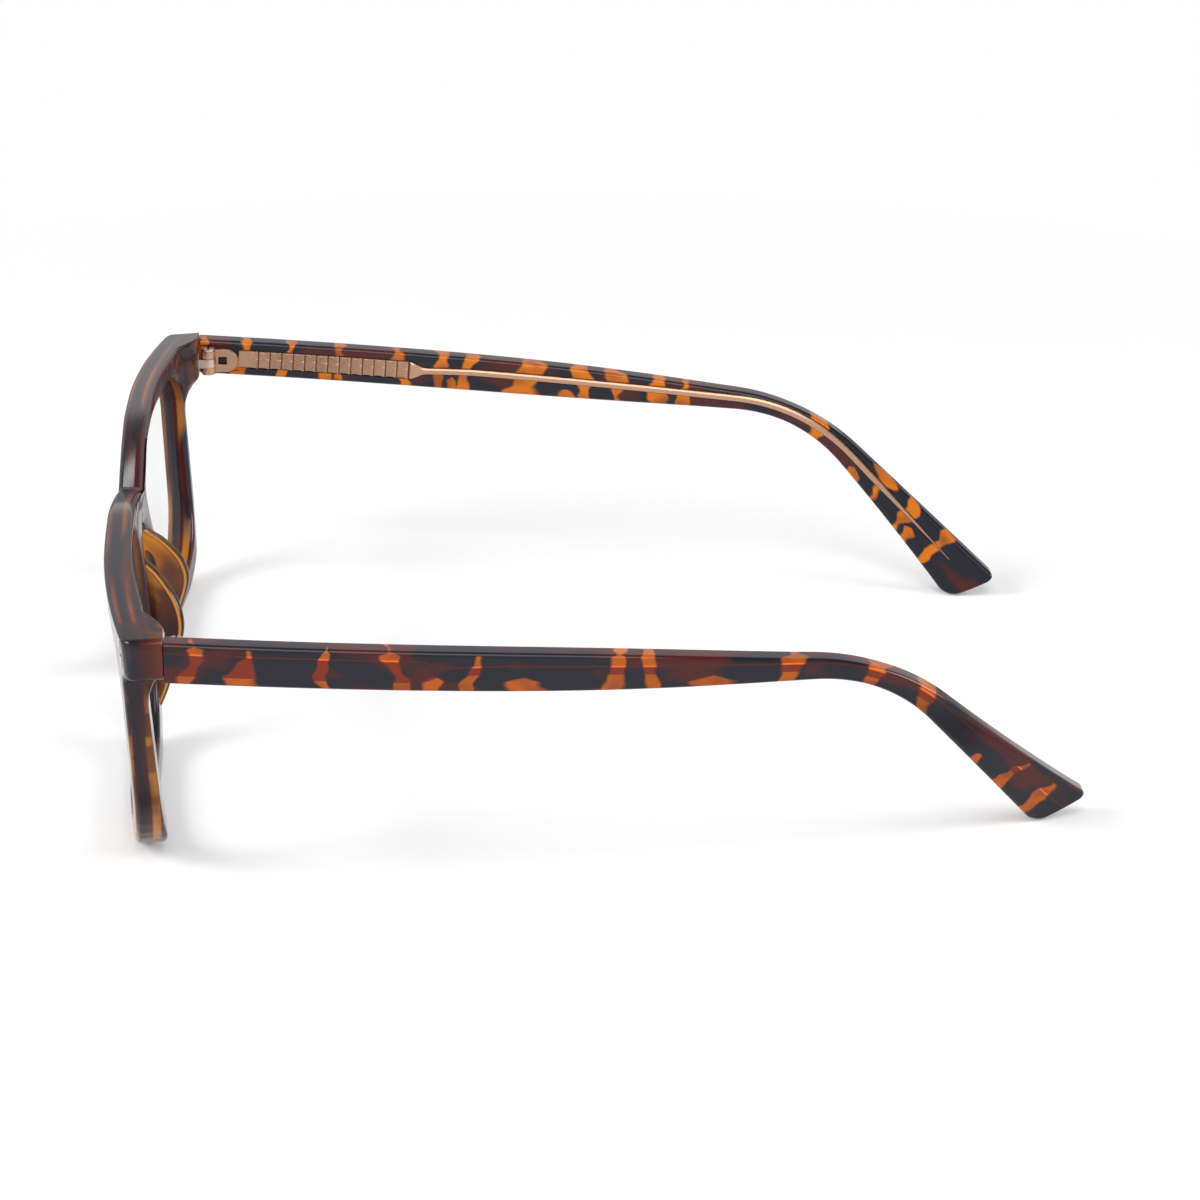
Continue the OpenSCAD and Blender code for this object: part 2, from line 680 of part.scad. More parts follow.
module hinge_screw_right() { color(steel) on_side(-1) hinge_screw(); }

front_frame();
lens_left();
lens_right();
nose_pad_left();
nose_pad_right();
front_hinge_left();
front_hinge_right();
rivet_upper_left();
rivet_lower_left();
rivet_upper_right();
rivet_lower_right();
temple_left();
temple_right();
temple_hinge_left();
temple_hinge_right();
core_wire_left();
core_wire_right();
hinge_screw_left();
hinge_screw_right();
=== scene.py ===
"""Looks for the square tortoise eyeglasses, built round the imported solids."""

import math

import bmesh
import bpy
from mathutils import Matrix, Vector


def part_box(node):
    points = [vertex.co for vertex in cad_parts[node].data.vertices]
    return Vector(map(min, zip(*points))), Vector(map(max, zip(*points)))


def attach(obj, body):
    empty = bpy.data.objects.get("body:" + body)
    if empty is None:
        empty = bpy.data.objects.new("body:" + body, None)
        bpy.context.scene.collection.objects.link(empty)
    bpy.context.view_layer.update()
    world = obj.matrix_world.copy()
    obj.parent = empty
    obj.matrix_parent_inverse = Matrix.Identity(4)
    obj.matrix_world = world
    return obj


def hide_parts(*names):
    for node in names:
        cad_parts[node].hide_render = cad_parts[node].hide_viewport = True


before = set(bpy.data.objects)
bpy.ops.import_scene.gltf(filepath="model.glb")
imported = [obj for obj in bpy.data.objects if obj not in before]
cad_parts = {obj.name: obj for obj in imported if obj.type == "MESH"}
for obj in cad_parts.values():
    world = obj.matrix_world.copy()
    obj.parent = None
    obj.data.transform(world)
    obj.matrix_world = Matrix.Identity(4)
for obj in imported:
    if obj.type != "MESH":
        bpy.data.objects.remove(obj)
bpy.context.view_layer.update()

MM = 0.001
SIDES = {"left": 1, "right": -1}
JOINT_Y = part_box("front_frame")[1].y / MM

# Sizes that the looks share with the solids, in millimetres
HALF_W = 69.0
FRONT_H = 42.6
FRONT_DEPTH = 10.6
FRONT_TILT = math.radians(4)
FRONT_R = 2000.0
WRAP_START = 32.0
WRAP_R = 186.0
FOOT_FLAT = 0.25
FRONT_T = 4.1
END_THICKEN = 0.6
BROW_FALL = 2.4
BRIDGE_DIP = 4.9
DIP_DEEP = 4.85
DIP_REACH = 22.0
DIP_SHOULDER = 0.1
SADDLE_R = 2.8
BRIDGE_H = 7.0
ARCH_HALF_W = 4.6
ARCH_R = 4.4
ARCH_Z = FRONT_H - BRIDGE_DIP - BRIDGE_H
NOSE_HALF_W = 12.6
LENS_IN_X = 9.6
LENS_OUT_X = 60.6
LENS_LOW_Z = 3.9
LENS_H = 33.6
LENS_TOP_FALL = 0.8
LENS_INNER_LEAN = 5.0
LENS_OUTER_LEAN = 3.5
LENS_TOP_R = 6.5
LENS_LOW_R = 12.0
RIM_SIDE_W = 4.1
RIM_SIDE_TAPER = 0.8
RIM_CORNER_R = 16.5
RIM_NOSE_R = 10.0
RIM_REAR_DEPTH = 7.0
END_H = 6.2
END_REACH = 4.3
END_ROUND = 1.4
NOTCH_R = 2.5
END_TOP = FRONT_H - BROW_FALL
END_LOW = END_TOP - END_H
END_TURN_R = 2.2
SWEEP_R = 9.0
SWEEP_FALL = 6.5
JOINT_SHY = 0.02
PAD_SPLAY = 1.2
PAD_ROOT = 2.4
FRONT_Y0 = FRONT_H * math.sin(FRONT_TILT) - FRONT_DEPTH

TEMPLE_T = 3.5
TEMPLE_H = 6.1
TEMPLE_LEN = 144.5
STRAIGHT_LEN = 93.0
WAIST_H = 3.0
TIP_H = 8.8
HINGE_Z = 37.05
DROP = math.radians(3.6)
BEND = math.radians(41.5)
BEND_R = 30.0
BEND_LEN = BEND_R * BEND
WAIST_S = STRAIGHT_LEN + 9
CURL_START = WAIST_S + 13
SKEW_START = WAIST_S + 18
EDGE_R = 0.7
TIP_TOP_R = 1.3
TIP_LOW_R = 2.2
TIP_CUT = math.radians(18.7)
END_R = 0.45
JOINT_GAP = 0.03

HINGE_LOW_Z = 34.45
HINGE_H = 4.1
POCKET_DEPTH = 0.3
POCKET_ROOM = 0.15
POCKET_END = 6.75
PLATE_START = 6.8
PLATE_H = 3.3
PLATE_T = 0.8
SCALE_START = 8.3
SCALE_PITCH = 2.0
SCALE_COUNT = 14
SCALE_END = SCALE_START + SCALE_COUNT * SCALE_PITCH
TAPER_LEN = 3.0
WIRE_H = 1.25
WIRE_RISE = 0.5
WIRE_POINT = 18.0
CORE_END = TEMPLE_LEN - 6
CORE_PLAY = 0.05
CORE_SINK = 0.1

# Forms that only the looks have, in millimetres, shares and counts: the front
DIP_POWER = 1.2
DIP_END = 40
DIP_EASE = 10
DIP_FOOT = 0.35
FACE_ROUND = 0.8
REAR_ROUND = 0.6
ROUND_ZONE = 0.61
OPENING_FACE_ROUND = 0.45
OPENING_REAR_ROUND = 0.8
FACE_KEPT = 0.85
REAR_KEPT = 1.3
BEVEL_LEAST = 0.8
BEVEL_MORE = 1.9
BEVEL_FULL_X = 12
BEVEL_EASE = 20
END_BEVEL = 0.25
END_BEVEL_X = 60
END_BEVEL_FALL = 0.7
SLICE_PITCH = 1.5
SLICES = 44
SLICE_LOW_Z = 22
END_SLICE_HIGH_Z = 41
END_SLICE_X = 50.9
BRIDGE_SLICE_X = 10.6
BRIDGE_SLICE_DEPTH = 3
BRIDGE_SLICE_PITCH = 0.6
BRIDGE_SLICES = 26
SWEEP_START_X = 56.5
SWEEP_END_X = 62.4
SWEEP_TOP_REACH = 3
SWEEP_TOP_Z = 38.6
SWEEP_TOP_EASE = 1.6
SADDLE_WIDEN = 1.03
SADDLE_SHARE = 0.8
SADDLE_EASE = 5
RELIEF_DEPTH = 0.7
RELIEF_EDGE = 0.8
RELIEF_RISE = 2.8
RELIEF_LOW_Z = 22
RELIEF_EASE = 12
RELIEF_END_X = 52
RELIEF_END_EASE = 7
CORNER_STEPS = 10
LENS_CORNER_STEPS = 14

# The pads, with how far their crest stands behind the rim at each height
PAD_REACH = [(3.0, -1.5), (5.9, 0.2), (8.6, 1.55), (12.7, 3.1), (16.6, 4.5), (18.9, 4.8), (21.4, 4.35),
             (23.4, 3.45), (26.2, 1.6), (27.6, 0.2), (29.5, -1.6)]
PAD_LOW_Z = 3.4
PAD_HIGH_Z = 29.2
PAD_STEPS = 52
PAD_ARC_STEPS = 14
PAD_T = 2.3
PAD_THINNING = 0.25
PAD_MOST_REACH = 4.8
PAD_SHY = 0.03
PAD_ROOT_WIDER = 0.2

# The temples
BOW_SPAN = 1000
CURL_SPAN = 400
SWELL_POWER = 2.6
FLARE_POWER = 1.4
BEND_STEPS = 20
START_R = 0.06
PINCH_ZONE = 0.5
SQUARE_END = 1
SQUARE_EASE = 9
TIP_BULGE = 0.25
TIP_BULGE_LEN = 6
POCKET_W = 5
POCKET_OVER = 1
SCREW_HEAD_H = 0.5

# The core
SCALE_STEP = 0.24
SCALE_SCALLOP = 0.14
SCALE_LAND = 0.92
SCALE_SLOPE = 0.8
SCALE_EDGE = 0.01
CORE_CHAMFER = 0.55
PLATE_CHAMFER_SHARE = 0.6
CHAMFER_INWARD = 0.75
CORE_THINNEST = 0.15
STUD_R = 0.26
STUD_SINK = 0.02
STUD_STRETCH = (0.4, 1.5, 0.8)


# Editing

def only(*objs):
    """Leaves just these objects selected, the first of them active."""
    if bpy.context.object and bpy.context.object.mode != "OBJECT":
        bpy.ops.object.mode_set(mode="OBJECT")
    bpy.ops.object.select_all(action="DESELECT")
    for obj in objs:
        obj.select_set(True)
    if objs:
        bpy.context.view_layer.objects.active = objs[0]


def open_mesh(obj, everything=False):
    """Edit mode on one object, with nothing or everything selected."""
    only(obj)
    bpy.ops.object.mode_set(mode="EDIT")
    bpy.ops.mesh.select_mode(type="VERT")
    bpy.ops.mesh.select_all(action="SELECT" if everything else "DESELECT")


def close_mesh():
    bpy.ops.object.mode_set(mode="OBJECT")


def pick(obj, kind, test):
    """Selects the edges or faces of an open mesh that pass a test."""
    bpy.ops.mesh.select_mode(type=kind)
    bpy.ops.mesh.select_all(action="DESELECT")
    bm = bmesh.from_edit_mesh(obj.data)
    for part in [part for part in (bm.edges if kind == "EDGE" else bm.faces) if test(part)]:
        part.select_set(True)
    bmesh.update_edit_mesh(obj.data)


def sharp(edge, degrees=28):
    """Whether the two faces at an edge meet at more than an angle."""
    return len(edge.link_faces) == 2 and edge.calc_face_angle(0) > math.radians(degrees)


def solid_copy(node, name):
    """A CAD node's mesh as a new piece, welded and with its flat faces whole."""
    obj = bpy.data.objects.new(name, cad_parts[node].data.copy())
    bpy.context.scene.collection.objects.link(obj)
    open_mesh(obj, everything=True)
    bpy.ops.mesh.customdata_custom_splitnormals_clear()
    bpy.ops.mesh.remove_doubles(threshold=0.001 * MM)
    bpy.ops.mesh.dissolve_limited(angle_limit=math.radians(0.03))
    close_mesh()
    return obj


def smooth(obj, degrees=32):
    """Smooth faces with crisp edges, and flats that stay flat in the shine."""
    only(obj)
    bpy.ops.object.shade_smooth_by_angle(angle=math.radians(degrees))
    bpy.ops.object.modifier_add(type="WEIGHTED_NORMAL")
    obj.modifiers[-1].keep_sharp = True
    bpy.ops.object.modifier_apply(modifier=obj.modifiers[-1].name)


def eased(obj, width):
    """Rounds the sharp edges of a small metal piece."""
    open_mesh(obj)
    pick(obj, "EDGE", sharp)
    bpy.ops.mesh.bevel(offset=width * MM, segments=3, affect="EDGES", clamp_overlap=True)
    close_mesh()


def shaped(obj, place):
    """Sets every point by place, then turns the faces outward."""
    for v in obj.data.vertices:
        v.co = place(v.co)
    open_mesh(obj, everything=True)
    bpy.ops.mesh.normals_make_consistent(inside=False)
    close_mesh()
    return obj


def draw_out(lengths):
    """Draws the selected section of an open mesh out, one length after the other, and closes it."""
    for length in lengths:
        bpy.ops.mesh.extrude_region_move(TRANSFORM_OT_translate={"value": (0, 0, length)})
    close_mesh()


def mirrored(obj, name):
    """The same piece for the wearer's right side, with its own mesh."""
    twin = bpy.data.objects.new(name, obj.data.copy())
    bpy.context.scene.collection.objects.link(twin)
    open_mesh(twin, everything=True)
    bpy.ops.transform.mirror(constraint_axis=(True, False, False), orient_type="GLOBAL",
                             center_override=(0, 0, 0))
    bpy.ops.mesh.flip_normals()
    close_mesh()
    return twin


def cut(obj, tool):
    """Takes one shape out of another."""
    only(obj)
    bpy.ops.object.modifier_add(type="BOOLEAN")
    mod = obj.modifiers[-1]
    mod.operation = "DIFFERENCE"
    mod.solver = "EXACT"
    mod.object = tool
    bpy.ops.object.modifier_apply(modifier=mod.name)
    only(tool)
    bpy.ops.object.delete()


def fit(piece, node, body, material):
    """Puts a finished piece in a CAD node's place."""
    piece.data.materials.clear()
    piece.data.materials.append(material)
    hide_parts(*([node] if isinstance(node, str) else node))
    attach(piece, body)


def ease(u):
    """0 to 1 with a soft start and end."""
    c = min(1.0, max(0.0, u))
    return c * c * (3 - 2 * c)


# The front's own measure

def face_y(x):
    """How far the face falls back from the middle of the bridge."""
    return x * x / (2 * FRONT_R) + max(0, abs(x) - WRAP_START) ** 2 / (2 * WRAP_R)


def leaned(p):
    """A point of the front as (x, depth behind its face, height along it), in millimetres."""
    y = p[1] / MM - JOINT_Y - FRONT_Y0
    z = p[2] / MM + FOOT_FLAT
    c, s = math.cos(FRONT_TILT), math.sin(FRONT_TILT)
    x = p[0] / MM
    return Vector((x, y * c + z * s - face_y(x), z * c - y * s))


# The temple's own measure

def path_angle(s):
    """How steeply the temple's middle line falls."""
    return min(DROP + BEND, DROP + max(0, s - STRAIGHT_LEN) / BEND_R)


def path_point(s):
    """The temple's middle line, as (y behind the joint, height)."""
    a = path_angle(s)
    s1 = min(s, STRAIGHT_LEN)
    s3 = max(0, s - STRAIGHT_LEN - BEND_LEN)
    y = s1 * math.cos(DROP) + BEND_R * (math.sin(a) - math.sin(DROP)) + s3 * math.cos(DROP + BEND)
    z = HINGE_Z - s1 * math.sin(DROP) - BEND_R * (math.cos(DROP) - math.cos(a))
    return y, z - s3 * math.sin(DROP + BEND)


def bow(s):
    """How far the temple leans towards the head."""
    return s * s / BOW_SPAN + max(0, s - CURL_START) ** 2 / CURL_SPAN


def half_height(s):
    """The temple narrows to its waist at the ear bend, then widens to its tip."""
    if s < WAIST_S:
        swell = (1 + math.cos(math.pi * (max(0, s) / WAIST_S) ** SWELL_POWER)) / 2
        return (WAIST_H + (TEMPLE_H - WAIST_H) * swell) / 2
    flare = ((s - WAIST_S) / (TEMPLE_LEN - WAIST_S)) ** FLARE_POWER
    return (WAIST_H + (TIP_H - WAIST_H) * flare) / 2


def temple_point(w, s, v):
    """Place of a temple point: w in from the outer face, s along it, v above its middle line."""
    y, z = path_point(s)
    a = path_angle(s)
    return Vector(((HALF_W - bow(s) - w) * MM, (JOINT_Y + y + v * math.sin(a)) * MM,
                   (z + v * math.cos(a)) * MM))


def unbent(p):
    """The inverse of temple_point: where a temple point lay in the flat blank."""
    y, z = p[1] / MM - JOINT_Y, p[2] / MM
    low, high = -5.0, 160.0
    for _ in range(40):
        mid = (low + high) / 2
        py, pz = path_point(mid)
        a = path_angle(mid)
        ahead = (y - py) * math.cos(a) - (z - pz) * math.sin(a)
        low, high = (mid, high) if ahead > 0 else (low, mid)
    py, pz = path_point(low)
    a = path_angle(low)
    v = (y - py) * math.sin(a) + (z - pz) * math.cos(a)
    return Vector((low, v, HALF_W - bow(low) - abs(p[0]) / MM))


def drawn_in(r, e):
    """How far a rounding of radius r draws a face in, at the distance e from its end."""
    return 0 if e >= r else r - math.sqrt(max(0, r * r - (r - e) ** 2))


def drawn_bar(name, low, high, corner_r, stations, place, rows=1):
    """Draws a rounded section (w, v) out along its stations, then sets every point by place."""
    mid = ((low[0] + high[0]) / 2, (low[1] + high[1]) / 2)
    only()
    bpy.ops.mesh.primitive_grid_add(x_subdivisions=1, y_subdivisions=rows, size=1)
    obj = bpy.context.object
    obj.name = name
    bpy.ops.object.mode_set(mode="EDIT")
    bpy.ops.mesh.select_all(action="SELECT")
    bpy.ops.transform.resize(value=(high[0] - low[0], high[1] - low[1], 1))
    bpy.ops.transform.translate(value=(mid[0], mid[1], stations[0]))
    if corner_r:
        bpy.ops.mesh.select_mode(type="VERT")
        bpy.ops.mesh.select_all(action="DESELECT")
        bm = bmesh.from_edit_mesh(obj.data)
        for v in bm.verts:
            if len(v.link_edges) == 2:
                v.select_set(True)
        bmesh.update_edit_mesh(obj.data)
        bpy.ops.mesh.bevel(offset=corner_r, segments=5, affect="VERTICES")
    bpy.ops.mesh.select_all(action="SELECT")
    draw_out(b - a for a, b in zip(stations, stations[1:]))
    return shaped(obj, lambda at: place(at.x, at.z, at.y))


# Pieces

def marked(obj, measure):
    """Keeps each point's own measure on the piece, for the pattern to follow."""
    layer = obj.data.attributes.new("grain", "FLOAT_VECTOR", "POINT")
    for i, v in enumerate(obj.data.vertices):
        layer.data[i].vector = measure(v.co)


def turned(a, b, c, r, steps=CORNER_STEPS):
    """Arc that rounds the corner b between a and c."""
    u, v = (a - b).normalized(), (c - b).normalized()
    half = u.angle(v) / 2
    p, q = b + r / math.tan(half) * u, b + r / math.tan(half) * v
    centre = b + r / math.sin(half) * (u + v).normalized()
    start = math.atan2(p.y - centre.y, p.x - centre.x)
    end = math.atan2(q.y - centre.y, q.x - centre.x)
    turn = (end - start + math.pi) % (2 * math.pi) - math.pi
    return [centre + r * Vector((math.cos(start + turn * i / steps), math.sin(start + turn * i / steps)))
            for i in range(steps + 1)]


def brow_z(x):
    """Height of the brow's top edge, with the dip over the bridge."""
    u = 1 - abs(x) / DIP_REACH
    dip = DIP_DEEP * ((u + math.sqrt(u * u + DIP_SHOULDER ** 2)) / 2) ** DIP_POWER
    return FRONT_H - BROW_FALL * (x / HALF_W) ** 2 - dip * ease((DIP_END - abs(x)) / DIP_EASE)


def front_outline():
    """The front's edge as seen from the front, from the middle of the brow and round."""
    side_x = HALF_W - END_REACH
    low_x = LENS_OUT_X - LENS_OUTER_LEAN + RIM_SIDE_W - RIM_SIDE_TAPER
    marks = [Vector(p) for p in ((side_x, brow_z(side_x)), (HALF_W, END_TOP), (HALF_W, END_LOW),
                                 (side_x, END_LOW), (low_x, 0), (NOSE_HALF_W, 0),
                                 (ARCH_HALF_W, ARCH_Z), (0, ARCH_Z))]
    half = [Vector((x, brow_z(x))) for x in [0, DIP_FOOT] + list(range(1, int(side_x) + 1))]
    for i, r in enumerate((END_ROUND, END_ROUND, NOTCH_R, RIM_CORNER_R, RIM_NOSE_R, ARCH_R)):
        half += turned(marks[i], marks[i + 1], marks[i + 2], r)
    return half + [marks[-1]] + [Vector((-p.x, p.y)) for p in reversed(half[1:])]


def lens_outline(side):
    """One lens opening as seen from the front."""
    top, low = LENS_LOW_Z + LENS_H, LENS_LOW_Z
    corners = [(LENS_IN_X, top, LENS_TOP_R), (LENS_OUT_X, top - LENS_TOP_FALL, LENS_TOP_R),
               (LENS_OUT_X - LENS_OUTER_LEAN, low, LENS_LOW_R),
               (LENS_IN_X + LENS_INNER_LEAN, low, LENS_LOW_R)]
    points = [Vector((side * x, z)) for x, z, _ in corners]
    out = []
    for i, corner in enumerate(corners):
        out += turned(points[i - 1], points[i], points[(i + 1) % 4], corner[2], LENS_CORNER_STEPS)
    return out


def plate(name, outline, low, high):
    """An upright flat plate with the given front view, between two depths."""
    only()
    bpy.ops.mesh.primitive_circle_add(vertices=len(outline), radius=1, fill_type="NGON")
    obj = bpy.context.object
    obj.name = name
    for v, p in zip(obj.data.vertices, outline):
        v.co = (p[0], low, p[1])
    open_mesh(obj, everything=True)
    bpy.ops.mesh.extrude_region_move(TRANSFORM_OT_translate={"value": (0, high - low, 0)})
    bpy.ops.mesh.select_all(action="SELECT")
    bpy.ops.mesh.remove_doubles(threshold=0.001)
    bpy.ops.mesh.normals_make_consistent(inside=False)
    close_mesh()
    return obj


def corner_draw(x):
    """How far the face falls back where the end piece turns into its side."""
    e = abs(x) - (HALF_W - END_TURN_R)
    return END_TURN_R - math.sqrt(max(0, END_TURN_R ** 2 - e * e)) if e > 0 else 0


def rear_depth(x, h):
    """Depth of the rear face: the rim's, sweeping back to the joint at the end piece."""
    a = abs(x)
    rim = min(face_y(x) + FRONT_T + END_THICKEN * ease((a - WRAP_START) / (LENS_OUT_X - WRAP_START)),
              RIM_REAR_DEPTH)
    joint = (h * math.sin(FRONT_TILT) - FRONT_Y0 - JOINT_SHY) / math.cos(FRONT_TILT)
    swept_x = SWEEP_END_X + SWEEP_TOP_REACH * ease((h - SWEEP_TOP_Z) / SWEEP_TOP_EASE)
    share = ease((a - SWEEP_START_X) / (swept_x - SWEEP_START_X))
    if h < END_LOW:
        def sweep(e):
            return SWEEP_R - math.sqrt(SWEEP_R ** 2 - e ** 2)
        share *= sweep(max(0, h - END_LOW + SWEEP_FALL)) / sweep(SWEEP_FALL)
    return rim + (joint - rim) * share


def relief(x, h):
    """How far the rear is worked off, round the nose saddle and under the brow's top edge."""
    a = abs(x)
    gap = math.hypot(max(0, a - nose_x(h) + SADDLE_WIDEN * ARCH_R), max(0, h - ARCH_Z + ARCH_R)) - ARCH_R
    saddle = SADDLE_R - math.sqrt(max(0, SADDLE_R ** 2 - max(0, SADDLE_R - max(0, gap)) ** 2))
    saddle *= SADDLE_SHARE * ease((h - RELIEF_LOW_Z) / SADDLE_EASE)
    brow = RELIEF_DEPTH * ease((brow_z(x) - RELIEF_EDGE - h) / RELIEF_RISE)
    brow *= ease((h - RELIEF_LOW_Z) / RELIEF_EASE) * (1 - ease((a - RELIEF_END_X) / RELIEF_END_EASE))
    return saddle + brow


def front_point(x, depth, h):
    """The inverse of leaned, except that depth is measured from a flat face."""
    c, s = math.cos(FRONT_TILT), math.sin(FRONT_TILT)
    y, z = FRONT_Y0 + depth * c - h * s, depth * s + h * c - FOOT_FLAT
    return Vector((x * MM, (JOINT_Y + y) * MM, max(0, z) * MM))


def make_front():
    """Cut flat from sheet, its edges rounded, then bent to its plan and swept back at the ends."""
    obj = plate("front_tortoise", front_outline(), 0, FRONT_T)

    def round_rim(depth, width, segments):
        open_mesh(obj)
        pick(obj, "EDGE", lambda e: sharp(e, 60)
             and all(abs(v.co.y - depth) < 0.001 for v in e.verts))
        bpy.ops.mesh.bevel(offset=width, segments=segments, affect="EDGES", clamp_overlap=False)
        close_mesh()

    def slice_level(heights, test):
        for h in heights:
            pick(obj, "FACE", test)
            bpy.ops.mesh.bisect(plane_co=(0, 0, h), plane_no=(0, 0, 1))

    round_rim(0, FACE_ROUND, 5)
    round_rim(FRONT_T, REAR_ROUND, 4)
    for side in SIDES.values():
        cut(obj, plate("opening", lens_outline(side), -1, FRONT_T + 1))
    round_rim(0, OPENING_FACE_ROUND, 3)
    round_rim(FRONT_T, OPENING_REAR_ROUND, 5)
    turn = [HALF_W - END_TURN_R + END_TURN_R * math.sin(math.radians(a)) for a in range(0, 90, 10)]
    open_mesh(obj)
    for x in [SLICE_PITCH * i for i in range(-SLICES, SLICES + 1)] + turn + [-x for x in turn]:
        bpy.ops.mesh.select_all(action="SELECT")
        bpy.ops.mesh.bisect(plane_co=(x, 0, 0), plane_no=(1, 0, 0))
    slice_level(range(SLICE_LOW_Z, END_SLICE_HIGH_Z),
                lambda f: min(abs(v.co.x) for v in f.verts) > END_SLICE_X)
    slice_level([SLICE_LOW_Z + BRIDGE_SLICE_PITCH * i for i in range(BRIDGE_SLICES)],
                lambda f: max(abs(v.co.x) for v in f.verts) < BRIDGE_SLICE_X
                and min(v.co.y for v in f.verts) > BRIDGE_SLICE_DEPTH)
    close_mesh()
    for v in obj.data.vertices:
        x, d, h = v.co
        fuller = BEVEL_LEAST + BEVEL_MORE * (1 - ease((abs(x) - BEVEL_FULL_X) / BEVEL_EASE))
        below = brow_z(x) - h
        at_rear = d > FRONT_T - ROUND_ZONE
        if at_rear and below < ROUND_ZONE and abs(x) < END_BEVEL_X:
            d, h = FRONT_T - (FRONT_T - d) * fuller, brow_z(x) - below * fuller
        elif at_rear and abs(x) >= END_BEVEL_X and h > END_LOW - END_BEVEL_FALL:
            d = FRONT_T - (FRONT_T - d) * END_BEVEL
        fore = face_y(x) + corner_draw(x)
        aft = rear_depth(x, h) - relief(x, h) - FRONT_T
        share = min(1, max(0, (d - FACE_KEPT) / (FRONT_T - FACE_KEPT - REAR_KEPT)))
        v.co = front_point(x, d + fore + (aft - fore) * share, h)
    smooth(obj)
    return obj


def nose_x(h):
    """Half width of the nose gap at a height."""
    return NOSE_HALF_W + (ARCH_HALF_W - NOSE_HALF_W) * h / ARCH_Z


def along(marks, u):
    """Smooth curve through (place, value) marks."""
    for i in range(len(marks) - 1):
        if u <= marks[i + 1][0] or i == len(marks) - 2:
            break
    p0, p1, p2, p3 = (marks[min(len(marks) - 1, max(0, j))] for j in (i - 1, i, i + 1, i + 2))
    t = (u - p1[0]) / (p2[0] - p1[0])
    m1 = (p2[1] - p0[1]) / (p2[0] - p0[0]) * (p2[0] - p1[0])
    m2 = (p3[1] - p1[1]) / (p3[0] - p1[0]) * (p2[0] - p1[0])
    return (2 * t ** 3 - 3 * t * t + 1) * p1[1] + (t ** 3 - 2 * t * t + t) * m1 \
        + (3 * t * t - 2 * t ** 3) * p2[1] + (t ** 3 - t * t) * m2


def from_crest(p):
    """A pad's point as (x, distance from its crest, height)."""
    q = leaned(p)
    return Vector((q[0], FRONT_T + along(PAD_REACH, q[2]) - q[1], q[2]))


def make_pad():
    """Saddle pad: sections from its root in the rim to its rounded crest, drawn up the nose line."""
    arc = [math.radians(180 * i / PAD_ARC_STEPS) for i in range(PAD_ARC_STEPS + 1)]
    section = [(0, -1), (0, 0)] + [(a, 1) for a in arc[1:-1]] + [(math.pi, 0), (math.pi, -1)]
    only()
    bpy.ops.mesh.primitive_circle_add(vertices=len(section), radius=1, fill_type="NGON")
    obj = bpy.context.object
    obj.name = "nose_pad_amber"
    for v, (a, part) in zip(obj.data.vertices, section):
        v.co = (a, part, PAD_LOW_Z)
    bpy.ops.object.mode_set(mode="EDIT")
    bpy.ops.mesh.select_all(action="SELECT")
    draw_out([(PAD_HIGH_Z - PAD_LOW_Z) / PAD_STEPS] * PAD_STEPS)

    def place(at):
        a, part, h = at
        reach = along(PAD_REACH, h)
        thick = PAD_T - PAD_THINNING * max(0, reach) / PAD_MOST_REACH
        r = thick / 2
        crest = FRONT_T + reach
        lean = PAD_SPLAY * max(0, reach) / PAD_MOST_REACH
        if part < -0.5:
            depth, out = PAD_ROOT, -PAD_SHY if a < 1 else thick + PAD_ROOT_WIDER
        else:
            depth, out = max(PAD_ROOT, crest - r + r * math.sin(a)), lean - PAD_SHY + r - r * math.cos(a)
        x = nose_x(h) + out
        return front_point(x, depth + face_y(x), h)

    return shaped(obj, place)


def bend_stations():
    return [STRAIGHT_LEN + BEND_LEN * i / BEND_STEPS for i in range(BEND_STEPS + 1)]


def temple_stations():
    """Places of the temple's sections, closer together where its ends are rounded."""
    straight = [JOINT_GAP + e for e in (0, 0.02, 0.06)] + [3 * i for i in range(1, 31)]
    tail = [STRAIGHT_LEN + BEND_LEN + 2 * i for i in range(1, 14)]
    low_r = [TEMPLE_LEN - TIP_LOW_R * (1 - math.sin(math.radians(a))) for a in range(0, 70, 9)]
    end = [TEMPLE_LEN - END_R * (1 - math.sin(math.radians(a))) for a in (0, 15, 30, 45, 60, 75, 90)]
    stations = straight + bend_stations() + tail + low_r + end
    return sorted(set(round(s, 4) for s in stations if s <= TEMPLE_LEN))


